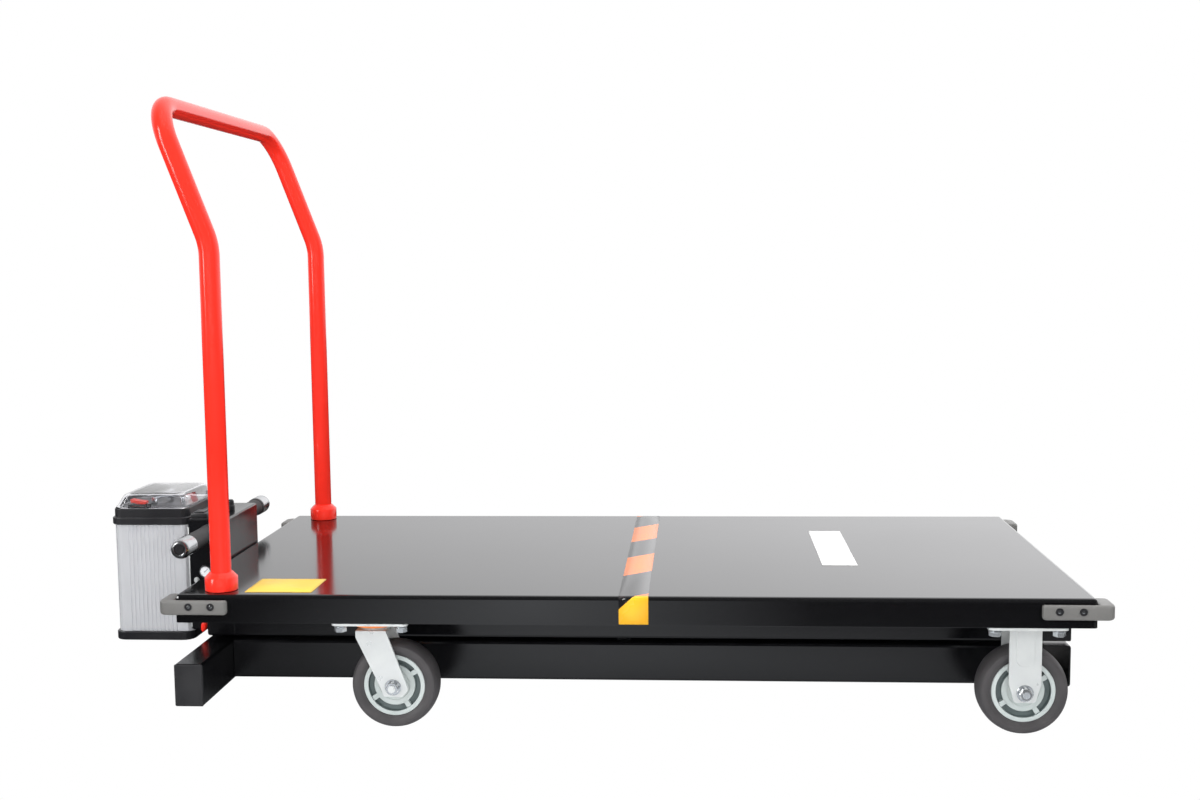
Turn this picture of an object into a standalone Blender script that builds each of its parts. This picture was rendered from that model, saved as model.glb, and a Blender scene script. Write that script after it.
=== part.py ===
"""Electric lifting trolley: a flatbed deck on four casters, with a scissor lift under it.

Everything is in metres, +Z up, +X towards the end without the push handle. The origin is on the
floor, in the middle of the whole trolley's length and width.
"""

import math

import bmesh
import bpy
from mathutils import Matrix, Vector

# Clearances
GAP = 0.0003
PIN_CLEARANCE = 0.0005
WELD = 0.0001

# Deck: a folded sheet pan on a ladder frame
DECK_LENGTH = 1.450
DECK_WIDTH = 0.710
DECK_SHEET = 0.003
DECK_RIM = 0.046
DECK_FOLD = 0.006
RIB_WIDTH = 0.034
RIB_WALL = 0.003
RIB_END_ROOM = 0.0105
STRINGER_Y = 0.165
STRINGER_THICK = 0.006
STRINGER_INSET = 0.0012

# Rails: a pair under the deck, a pair in the base, channels open towards the middle
RAIL_HEIGHT = 0.067
RAIL_SPACE = 0.006
RAIL_WALL = 0.004
RAIL_FLANGE = 0.038
RAIL_FOLD = 0.005
RAIL_OUTER_Y = 0.185
RAIL_FRONT_OUT = 0.004
BEAM_WALL = 0.003
BEAM_FOLD = 0.004
BEAM_WIDTH = 0.0475
BEAM_DROP = 0.003
REAR_BEAM_OUT = 0.0125
REAR_BEAM_SHORT = 0.015
UPPER_BEAM_OUT = 0.010
UPPER_BEAM_WIDTH = 0.049
END_CAP = 0.004
END_PLUG = 0.012

# Scissor: flat bar arms between the two pairs of rails
ARM_HEIGHT = 0.050
ARM_THICK = 0.012
OUTER_ARM_Y = 0.133
INNER_ARM_Y = 0.116
PIVOT_FROM_REAR = 0.095
ROLLER_FROM_FRONT = 0.131
PIN_RADIUS = 0.010
CENTRE_RADIUS = 0.012
CENTRE_REACH = 0.143
ROLLER_CLEARANCE = 0.0005
ROLLER_WIDTH = 0.026
ROLLER_EDGE = 0.002
ROLLER_WEB_SPACE = 0.005

# Electric actuator between the base and the inner arms
BARREL_RADIUS = 0.019
BARREL_BORE = 0.0125
BARREL_LENGTH = 0.358
BARREL_TO_ROLLER = 0.298
ROD_RADIUS = 0.010
ROD_LENGTH = 0.328
ROD_NUT_RADIUS = 0.012
ROD_NUT = 0.014
ROD_EYE_RADIUS = 0.018
ROD_EYE_WIDTH = 0.024
GEARBOX_LENGTH = 0.052
GEARBOX_HEIGHT = 0.052
GEARBOX_NEAR_Y = -0.026
GEARBOX_FAR_Y = 0.088
MOTOR_RADIUS = 0.0225
MOTOR_LENGTH = 0.128
MOTOR_Y = 0.062
MOTOR_DROP = 0.003
TONGUE_LENGTH = 0.038
TONGUE_THICK = 0.018
TONGUE_RADIUS = 0.012
CLEVIS_EAR = 0.008
CLEVIS_PIN_RADIUS = 0.005
CROSS_MEMBER_DEPTH = 0.045
CROSS_MEMBER_HEIGHT = 0.024

# Push handle
TUBE_RADIUS = 0.0165
HANDLE_FROM_REAR = 0.065
HANDLE_FROM_SIDE = 0.037
HANDLE_BEND_RISE = 0.558
HANDLE_RISE = 0.781
HANDLE_LEAN = math.radians(20.4)
HANDLE_CORNER = 0.070
HANDLE_BEND = 0.110
COLLAR_RADIUS = 0.0265
COLLAR_HEIGHT = 0.022
COLLAR_CONE = 0.008
COLLAR_LIP = 0.002

# Corner bumpers
BUMPER_HEIGHT = 0.024
BUMPER_DROP = 0.008
BUMPER_ARM = 0.0858
BUMPER_SIDE = 0.010
BUMPER_NOSE = 0.025
BUMPER_RETURN = 0.045
BUMPER_EDGE = 0.003
BUMPER_CORNER = 0.014
BUMPER_HOLES = (0.025, 0.061)
BUMPER_HOLE_RADIUS = 0.0045
BUMPER_HOLE_DEPTH = 0.006
BUMPER_HOLE_RAISE = 0.002

# Casters
WHEEL_ROOM = 0.0383
CASTER_PLATE_LENGTH = 0.123
CASTER_PLATE_WIDTH = 0.104
CASTER_PLATE = 0.004
CASTER_PLATE_CORNER = 0.008
CASTER_BOLT_X = 0.098
SWIVEL_FROM_REAR = 0.314
SWIVEL_TRAIL = 0.032
RIGID_FROM_FRONT = 0.104
WHEEL_RADIUS = 0.0712
WHEEL_SIDES = 28
TYRE_HALF = 0.0245
TREAD_HALF = 0.006
SHOULDER_HALF = 0.016
SHOULDER_DROP = 0.0025
SIDEWALL_DROP = 0.0095
HUB_RADIUS = 0.0500
HUB_HALF = 0.0195
HUB_RIM = 0.0075
HUB_BOSS_RADIUS = 0.033
HUB_BOSS_HALF = 0.0205
HUB_WEB_HALF = 0.006
HUB_DRAFT = 0.002
AXLE_RADIUS = 0.006
AXLE_HEAD_RADIUS = 0.0105
AXLE_HEAD = 0.008
AXLE_END = 0.004
FORK_INSIDE = 0.027
FORK_THICK = 0.004
FORK_LEG_HALF = 0.025
FORK_FOOT = 0.0155
FORK_TAPER = 0.014
FORK_CROWN = 0.0055
CROWN_REAR = 0.027
CROWN_FRONT = 0.022
RACE_RADIUS = 0.038
RACE_FOOT_RADIUS = 0.027
RACE_HEIGHT = 0.0085
RACE_LIP = 0.002
KINGPIN_RADIUS = 0.013
FORK_RING_RADIUS = 0.025
FORK_RING = 0.004
RIB_RAISE = 0.0012
RIB_HALF = 0.014
RIB_FOOT = 0.043

# Power unit behind the deck
BOX_HALF = 0.085
BOX_DEPTH = 0.074
BOX_RISE = 0.0735
BOX_FOOT_DROP = 0.083
BOX_LIFT = 0.0025
BOX_WALL = 0.002
BOX_FOLD = 0.003
CASE_LENGTH = 0.141
CASE_WIDTH = 0.150
CASE_FOOT_DROP = 0.089
CASE_RISE = 0.0605
CASE_CORNER = 0.016
CASE_WALL = 0.005
FLUTE_PITCH = 0.0075
FLUTE_DEPTH = 0.0014
CAP_OVERHANG = 0.0045
BOTTOM_CAP = 0.0155
CAP_EDGE = 0.004
TOP_CAP_RIM = 0.0135
TOP_CAP_STEP = 0.0155
TOP_CAP_INSET = 0.004
LID_HEIGHT = 0.026
LID_REAR_SLOPE = 0.015
LID_SIDE_SLOPE = 0.005
LID_INSET = 0.002
LID_WALL = 0.0025
LID_FOLD = 0.008
PACK_CLEARANCE = 0.004
PACK_HEIGHT = 0.172
SWITCH_FROM_REAR = 0.026
SWITCH_Y = -0.056
SWITCH_LENGTH = 0.036
SWITCH_WIDTH = 0.020
SWITCH_BASE = 0.006
SWITCH_TILT = math.radians(12.0)
ROCKER_THICK = 0.006
ROCKER_FOOT = 0.004
GRIP_FROM_FRONT = 0.0357
GRIP_DROP = 0.0265
GRIP_HALF = 0.232
GRIP_BAR_RADIUS = 0.011
GRIP_RADIUS = 0.0168
GRIP_END_RADIUS = 0.0172
GRIP_END_LENGTH = 0.044
GRIP_END_EDGE = 0.0045
GRIP_FACE_RADIUS = 0.0118
GRIP_BORE_RADIUS = 0.009
GRIP_BORE_DEPTH = 0.003
GAUGE_RADIUS = 0.0115
GAUGE_THICK = 0.007
GAUGE_FROM_FRONT = 0.0425
GAUGE_DROP = 0.095
GLAND_RADIUS = 0.007
GLAND_HEIGHT = 0.019
GLAND_FROM_FRONT = 0.0245

# Release lever on the upper rear beam
LEVER_Y = -0.160
LEVER_DROP = 0.034
LEVER_REACH = 0.008
LEVER_WIDTH = 0.008
LEVER_BOSS_RADIUS = 0.006
LEVER_PIN_RADIUS = 0.003
LEVER_ARM = 0.018
LEVER_GRIP = 0.020
LEVER_GRIP_RADIUS = 0.0055
LEVER_LEAN = math.radians(14.0)
LUG_THICK = 0.003

# Sizes that follow from those above
caster_height = 2 * WHEEL_RADIUS + WHEEL_ROOM
deck_top = caster_height + DECK_RIM
deck_end = DECK_LENGTH / 2
deck_side = DECK_WIDTH / 2
upper_high = caster_height - GAP
upper_low = upper_high - RAIL_HEIGHT
upper_mid = upper_high - RAIL_HEIGHT / 2
base_high = upper_low - RAIL_SPACE
base_low = base_high - RAIL_HEIGHT
base_mid = base_high - RAIL_HEIGHT / 2
rail_inner_y = RAIL_OUTER_Y - RAIL_FLANGE
web_inner_y = RAIL_OUTER_Y - RAIL_WALL
beam_low = base_low - BEAM_DROP
rail_front_x = deck_end + RAIL_FRONT_OUT
rear_beam_x = -deck_end - REAR_BEAM_OUT
rear_beam_half = deck_side - REAR_BEAM_SHORT
upper_beam_x = -deck_end - UPPER_BEAM_OUT
rear_pivot_x = -deck_end + PIVOT_FROM_REAR
roller_x = rail_front_x - ROLLER_FROM_FRONT
arm_span = math.hypot(roller_x - rear_pivot_x, upper_mid - base_mid)
rest_angle = math.asin((upper_mid - base_mid) / arm_span)
roller_radius = RAIL_HEIGHT / 2 - RAIL_WALL - ROLLER_CLEARANCE
roller_y = web_inner_y - ROLLER_WEB_SPACE - ROLLER_WIDTH / 2
arm_middle = ((rear_pivot_x + roller_x) / 2, 0.0, (base_mid + upper_mid) / 2)
barrel_front_x = roller_x - BARREL_TO_ROLLER
barrel_rear_x = barrel_front_x - BARREL_LENGTH
handle_x = -deck_end + HANDLE_FROM_REAR
handle_half = deck_side - HANDLE_FROM_SIDE
handle_bend_z = deck_top + HANDLE_BEND_RISE
handle_top_z = deck_top + HANDLE_RISE
swivel_x = -deck_end + SWIVEL_FROM_REAR
rigid_x = deck_end - RIGID_FROM_FRONT
caster_y = deck_side - CASTER_PLATE_WIDTH / 2
plate_low = caster_height - GAP - CASTER_PLATE
axle_z = WHEEL_RADIUS
box_front = -deck_end - GAP
box_rear = box_front - BOX_DEPTH
box_low = caster_height + BOX_LIFT
box_top_z = deck_top + BOX_RISE
box_foot_z = caster_height - BOX_FOOT_DROP
case_front = box_rear - GAP
case_rear = case_front - CASE_LENGTH
case_x = (case_front + case_rear) / 2
case_low_z = caster_height - CASE_FOOT_DROP
case_top_z = deck_top + CASE_RISE
cap_top_z = case_top_z + TOP_CAP_RIM + TOP_CAP_STEP
lid_hinge = (case_rear - CAP_OVERHANG + TOP_CAP_INSET + LID_INSET, 0.0, cap_top_z + GAP)
grip_x = box_front - GRIP_FROM_FRONT
grip_z = box_top_z - GRIP_DROP
switch_x = case_rear + SWITCH_FROM_REAR + SWITCH_LENGTH / 2
switch_z = cap_top_z + SWITCH_BASE + ROCKER_FOOT
gauge_z = box_top_z - GAUGE_DROP
lever_x = upper_beam_x - LEVER_REACH
lever_z = caster_height - LEVER_DROP
trolley_rear = case_rear - CAP_OVERHANG
trolley_front = deck_end + BUMPER_NOSE
SHIFT = -(trolley_rear + trolley_front) / 2

SIDES = (("left", 1), ("right", -1))
ALONG = {
    "+Z": (0.0, 0.0, 0.0),
    "-Z": (math.pi, 0.0, 0.0),
    "+Y": (-math.pi / 2, 0.0, 0.0),
    "-Y": (math.pi / 2, 0.0, 0.0),
    "+X": (0.0, math.pi / 2, 0.0),
    "-X": (0.0, -math.pi / 2, 0.0),
}
UPRIGHT = (math.pi / 2, 0.0, 0.0)

# Colour, roughness and metallic value of each finish
FINISHES = {
    "black_paint": ((0.012, 0.012, 0.014), 0.28, 0.0),
    "red_paint": ((0.80, 0.045, 0.02), 0.25, 0.0),
    "bumper_grey": ((0.27, 0.265, 0.25), 0.45, 0.0),
    "zinc": ((0.72, 0.74, 0.75), 0.35, 1.0),
    "tyre": ((0.11, 0.10, 0.105), 0.60, 0.0),
    "hub_grey": ((0.38, 0.43, 0.42), 0.45, 0.0),
    "steel": ((0.35, 0.36, 0.37), 0.40, 1.0),
    "aluminium": ((0.80, 0.81, 0.83), 0.30, 1.0),
    "black_plastic": ((0.02, 0.02, 0.022), 0.45, 0.0),
    "clear": ((0.92, 0.93, 0.95), 0.05, 0.0),
    "switch_red": ((0.75, 0.03, 0.02), 0.35, 0.0),
    "grip_rubber": ((0.03, 0.03, 0.03), 0.80, 0.0),
    "grip_metal": ((0.62, 0.63, 0.64), 0.25, 1.0),
    "gauge_white": ((0.85, 0.86, 0.88), 0.35, 0.0),
}

for old in list(bpy.data.objects):
    bpy.data.objects.remove(old, do_unlink=True)

trolley = bpy.data.collections.new("lifting_trolley")
cutters = bpy.data.collections.new("cutters")
for group in (trolley, cutters):
    bpy.context.scene.collection.children.link(group)

root = bpy.data.objects.new("trolley_origin", None)
root.location = (SHIFT, 0.0, 0.0)
trolley.objects.link(root)

# Helpers


def add(name, data, at=(0.0, 0.0, 0.0), turn=(0.0, 0.0, 0.0)):
    """Places a mesh or curve as a piece of the trolley, in the trolley's own coordinates."""
    piece = bpy.data.objects.new(name, data)
    piece.location = at
    piece.rotation_euler = turn
    piece.parent = root
    trolley.objects.link(piece)
    return piece


def add_shape(name, shape, at=(0.0, 0.0, 0.0), turn=(0.0, 0.0, 0.0)):
    mesh = bpy.data.meshes.new(name)
    shape.to_mesh(mesh)
    shape.free()
    return add(name, mesh, at, turn)


def bevel(piece, width, steps=2, angle=40.0):
    rounding = piece.modifiers.new("round", "BEVEL")
    rounding.width = width
    rounding.segments = steps
    rounding.limit_method = "ANGLE"
    rounding.angle_limit = math.radians(angle)
    return piece


def block(name, low, high, edge=0.0, steps=2):
    """Solid block between two corners."""
    low, high = Vector(low), Vector(high)
    shape = bmesh.new()
    bmesh.ops.create_cube(shape, size=1.0)
    bmesh.ops.scale(shape, vec=high - low, verts=shape.verts)
    piece = add_shape(name, shape, (low + high) / 2)
    if edge:
        bevel(piece, edge, steps)
    return piece


def folded(name, low, high, open_sides, wall, fold=0.0, steps=2):
    """Sheet folded round a box that is open on some sides, its wall inside the box."""
    low, high = Vector(low), Vector(high)
    shape = bmesh.new()
    bmesh.ops.create_cube(shape, size=1.0)
    bmesh.ops.scale(shape, vec=high - low, verts=shape.verts)
    shape.normal_update()
    gone = [face for face in shape.faces if any(face.normal.dot(Vector(side)) > 0.9 for side in open_sides)]
    bmesh.ops.delete(shape, geom=gone, context="FACES")
    piece = add_shape(name, shape, (low + high) / 2)
    if fold:
        bevel(piece, fold, steps)
    sheet = piece.modifiers.new("sheet", "SOLIDIFY")
    sheet.thickness = wall
    sheet.offset = -1.0
    sheet.use_even_offset = True
    return piece


def rod(name, radius, length, at, along="+Z", sides=16):
    """Round bar centred on a point."""
    shape = bmesh.new()
    bmesh.ops.create_cone(
        shape, cap_ends=True, segments=sides, radius1=radius, radius2=radius, depth=length
    )
    piece = add_shape(name, shape, at, ALONG[along])
    smooth(piece)
    return piece


def smooth(piece):
    piece.data.shade_smooth()
    piece.data.set_sharp_from_angle(angle=math.radians(35.0))


def turned(name, profile, sides, at=(0.0, 0.0, 0.0), along="+Z", start=0.0):
    """Profile of radius and height, down its outer side, turned about its axis."""
    ring = profile[0][0] > 0.0
    count = len(profile)
    points = [(r * math.cos(start), r * math.sin(start), h) for r, h in profile]
    edges = [(i, i + 1) for i in range(count - 1)]
    if ring:
        edges.append((count - 1, 0))
    mesh = bpy.data.meshes.new(name)
    mesh.from_pydata(points, edges, [])
    piece = add(name, mesh, at, ALONG[along])
    lathe = piece.modifiers.new("lathe", "SCREW")
    lathe.axis = "Z"
    lathe.steps = sides
    lathe.render_steps = sides
    lathe.use_merge_vertices = True
    lathe.merge_threshold = WELD
    return piece


def rounded(corners, closed=True, steps=4):
    """Path through corners of point and radius, each rounded by an arc."""
    path = []
    count = len(corners)
    for index, (point, radius) in enumerate(corners):
        here = Vector(point)
        at_end = not closed and index in (0, count - 1)
        if radius == 0.0 or at_end:
            path.append(here)
            continue
        back = (Vector(corners[index - 1][0]) - here).normalized()
        ahead = (Vector(corners[(index + 1) % count][0]) - here).normalized()
        half = back.angle(ahead) / 2
        middle = here + (back + ahead).normalized() * (radius / math.sin(half))
        reach = radius / math.tan(half)
        first = here + back * reach - middle
        last = here + ahead * reach - middle
        sweep = first.angle(last)
        for step in range(steps + 1):
            part = step / steps
            first_share = math.sin((1.0 - part) * sweep) / math.sin(sweep)
            last_share = math.sin(part * sweep) / math.sin(sweep)
            path.append(middle + first * first_share + last * last_share)
    return path


def circle(radius, centre=(0.0, 0.0), sides=16, start=0.0):
    turn = 2 * math.pi / sides
    return [
        (centre[0] + radius * math.cos(start + turn * i), centre[1] + radius * math.sin(start + turn * i))
        for i in range(sides)
    ]


def solid_from_curve(name, curve, at, turn):
    """Closed mesh of a curve, its caps welded."""
    drawn = add(name, curve, at, turn)
    bpy.context.view_layer.update()
    ready = drawn.evaluated_get(bpy.context.evaluated_depsgraph_get())
    mesh = bpy.data.meshes.new_from_object(ready)
    shape = bmesh.new()
    shape.from_mesh(mesh)
    bmesh.ops.remove_doubles(shape, verts=shape.verts, dist=WELD)
    bmesh.ops.recalc_face_normals(shape, faces=shape.faces)
    shape.to_mesh(mesh)
    shape.free()
    bpy.data.objects.remove(drawn, do_unlink=True)
    return add(name, mesh, at, turn)


def flat(name, loops, thickness, at=(0.0, 0.0, 0.0), turn=(0.0, 0.0, 0.0)):
    """Plate with the outline of the first loop and a hole for each other loop."""
    curve = bpy.data.curves.new(name, "CURVE")
    curve.dimensions = "2D"
    curve.fill_mode = "BOTH"
    curve.extrude = thickness / 2
    for loop in loops:
        spline = curve.splines.new("POLY")
        spline.points.add(len(loop) - 1)
        for place, point in zip(spline.points, loop):
            place.co = (point[0], point[1], 0.0, 1.0)
        spline.use_cyclic_u = True
    return solid_from_curve(name, curve, at, turn)


def tube(name, path, radius, resolution):
    """Round tube along a path."""
    curve = bpy.data.curves.new(name, "CURVE")
    curve.dimensions = "3D"
    curve.bevel_depth = radius
    curve.bevel_resolution = resolution
    curve.use_fill_caps = True
    spline = curve.splines.new("POLY")
    spline.points.add(len(path) - 1)
    for place, point in zip(spline.points, path):
        place.co = (*point, 1.0)
    piece = solid_from_curve(name, curve, (0.0, 0.0, 0.0), (0.0, 0.0, 0.0))
    smooth(piece)
    return piece


def combine(piece, tool, operation):
    boolean = piece.modifiers.new(operation.lower(), "BOOLEAN")
    boolean.operation = operation
    boolean.solver = "EXACT"
    boolean.object = tool
    trolley.objects.unlink(tool)
    cutters.objects.link(tool)
    tool.hide_render = True
    tool.display_type = "WIRE"
    return piece


def join(piece, *others):
    for other in others:
        combine(piece, other, "UNION")
    return piece


def cut(piece, *tools):
    for tool in tools:
        combine(piece, tool, "DIFFERENCE")
    return piece


# Bodies: each has an empty on its joint's axis

frames = {}
places = {}


def body(name, parent, at):
    empty = bpy.data.objects.new(name + "_axis", None)
    empty.empty_display_size = 0.05
    above = places.get(parent, Vector())
    empty.parent = frames.get(parent, root)
    empty.location = Vector(at) - above
    trolley.objects.link(empty)
    frames[name] = empty
    places[name] = Vector(at)


def finish(piece, look, body_name):
    """Gives a piece its own material and hangs it on its body's axis."""
    colour, roughness, metallic = FINISHES[look]
    material = bpy.data.materials.new(piece.name + "_" + look)
    material.use_nodes = True
    shader = material.node_tree.nodes["Principled BSDF"]
    shader.inputs["Base Color"].default_value = (*colour, 1.0)
    shader.inputs["Roughness"].default_value = roughness
    shader.inputs["Metallic"].default_value = metallic
    piece.data.materials.clear()
    piece.data.materials.append(material)
    piece.parent = frames[body_name]
    piece.matrix_parent_inverse = Matrix.Translation(-places[body_name])
    return piece


body("base", None, (0.0, 0.0, 0.0))
body("outer_arms", "base", (rear_pivot_x, 0.0, base_mid))
body("inner_arms", "outer_arms", arm_middle)
body("actuator_rod", "inner_arms", (roller_x, 0.0, base_mid))
body("deck", "inner_arms", (rear_pivot_x, 0.0, upper_mid))
for side, sign in SIDES:
    body("upper_roller_" + side, "outer_arms", (roller_x, sign * roller_y, upper_mid))
    body("lower_roller_" + side, "inner_arms", (roller_x, sign * roller_y, base_mid))
    body("swivel_" + side, "deck", (swivel_x, sign * caster_y, plate_low))
    body("swivel_wheel_" + side, "swivel_" + side, (swivel_x + SWIVEL_TRAIL, sign * caster_y, axle_z))
    body("rigid_wheel_" + side, "deck", (rigid_x, sign * caster_y, axle_z))
body("lid", "deck", lid_hinge)
body("rocker", "deck", (switch_x, SWITCH_Y, switch_z))
body("lever", "deck", (lever_x, LEVER_Y, lever_z))

# Base: two channels between a rear and a front beam


def channel(name, sign, rear, front, low, high):
    """Rail of channel section, its web outside and its mouth towards the middle."""
    inner, outer = sorted((sign * rail_inner_y, sign * RAIL_OUTER_Y))
    mouth = (0.0, -sign, 0.0)
    ends = ((1.0, 0.0, 0.0), (-1.0, 0.0, 0.0))
    return folded(
        name, (rear, inner, low), (front, outer, high), (mouth, *ends), RAIL_WALL, RAIL_FOLD
    )


def beam(name, rear, front, half, low, high):
    """Rectangular tube across the trolley, open at both ends."""
    ends = ((0.0, 1.0, 0.0), (0.0, -1.0, 0.0))
    return folded(name, (rear, -half, low), (front, half, high), ends, BEAM_WALL, BEAM_FOLD)


def beam_cap(name, sign, rear, front, half, low, high):
    """Plastic cap on a beam's end, with a plug inside the tube."""
    inset = BEAM_WALL + GAP
    face = sorted((sign * (half + GAP), sign * (half + END_CAP)))
    plug = sorted((sign * (half - END_PLUG), sign * (half + END_CAP / 2)))
    cap = block(name, (rear, face[0], low), (front, face[1], high), END_CAP / 2, 1)
    stem = block(
        name + "_plug",
        (rear + inset, plug[0], low + inset),
        (front - inset, plug[1], high - inset),
        BEAM_FOLD,
        1,
    )
    return join(cap, stem)


def build_base():
    rear_beam_front = rear_beam_x + BEAM_WIDTH
    front_beam_rear = rail_front_x - BEAM_WIDTH
    for side, sign in SIDES:
        rail = channel(
            "base_rail_" + side, sign, rear_beam_front + GAP, front_beam_rear - GAP, base_low, base_high
        )
        finish(rail, "black_paint", "base")
    half = rear_beam_half - END_CAP
    rear_beam = beam("base_rear_beam", rear_beam_x, rear_beam_front, half, beam_low, base_high)
    front_beam = beam("base_front_beam", front_beam_rear, rail_front_x, RAIL_OUTER_Y, beam_low, base_high)
    finish(rear_beam, "black_paint", "base")
    finish(front_beam, "black_paint", "base")
    for side, sign in SIDES:
        cap = beam_cap("beam_cap_" + side, sign, rear_beam_x, rear_beam_front, half, beam_low, base_high)
        finish(cap, "black_plastic", "base")


# Scissor


def arm(name, y, rear_z, front_radius, slope):
    """Flat bar with round ends, its rear pivot at its own origin, and three pin holes."""
    half = ARM_HEIGHT / 2
    steps = 8
    outline = []
    for centre, first in ((arm_span, -math.pi / 2), (0.0, math.pi / 2)):
        for step in range(steps + 1):
            angle = first + math.pi * step / steps
            outline.append((centre + half * math.cos(angle), half * math.sin(angle)))
    holes = [
        circle(PIN_RADIUS + PIN_CLEARANCE),
        circle(CENTRE_RADIUS + PIN_CLEARANCE, (arm_span / 2, 0.0)),
        circle(front_radius + PIN_CLEARANCE, (arm_span, 0.0)),
    ]
    return flat(name, [outline, *holes], ARM_THICK, (rear_pivot_x, y, rear_z), (math.pi / 2, -slope, 0.0))


def cross_shaft(name, radius, half, x, z):
    return rod(name, radius, 2 * half, (x, 0.0, z), "+Y")


def roller(name, sign, z):
    """Track roller with a bore for its shaft."""
    half = ROLLER_WIDTH / 2
    bore = PIN_RADIUS + PIN_CLEARANCE
    profile = [
        (roller_radius - ROLLER_EDGE, half),
        (roller_radius, half - ROLLER_EDGE),
        (roller_radius, ROLLER_EDGE - half),
        (roller_radius - ROLLER_EDGE, -half),
        (bore, -half),
        (bore, half),
    ]
    return turned(name, profile, 20, (roller_x, sign * roller_y, z), "+Y")


def build_scissor():
    shaft_half = web_inner_y - ROLLER_WEB_SPACE / 2
    for side, sign in SIDES:
        outer = arm("outer_arm_" + side, sign * OUTER_ARM_Y, base_mid, PIN_RADIUS, rest_angle)
        inner = arm("inner_arm_" + side, sign * INNER_ARM_Y, upper_mid, PIN_RADIUS, -rest_angle)
        finish(outer, "black_paint", "outer_arms")
        finish(inner, "black_paint", "inner_arms")
        finish(roller("upper_roller_" + side, sign, upper_mid), "steel", "upper_roller_" + side)
        finish(roller("lower_roller_" + side, sign, base_mid), "steel", "lower_roller_" + side)
    centre = cross_shaft("centre_shaft", CENTRE_RADIUS, CENTRE_REACH, arm_middle[0], arm_middle[2])
    upper = cross_shaft("upper_roller_shaft", PIN_RADIUS, shaft_half, roller_x, upper_mid)
    lower = cross_shaft("lower_roller_shaft", PIN_RADIUS, shaft_half, roller_x, base_mid)
    finish(centre, "steel", "outer_arms")
    finish(upper, "steel", "outer_arms")
    finish(lower, "steel", "inner_arms")
    pivot_half = web_inner_y - GAP
    low_pivot = cross_shaft("base_pivot_shaft", PIN_RADIUS, pivot_half, rear_pivot_x, base_mid)
    high_pivot = cross_shaft("deck_pivot_shaft", PIN_RADIUS, pivot_half, rear_pivot_x, upper_mid)
    finish(low_pivot, "steel", "base")
    finish(high_pivot, "steel", "deck")


# Actuator


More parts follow.
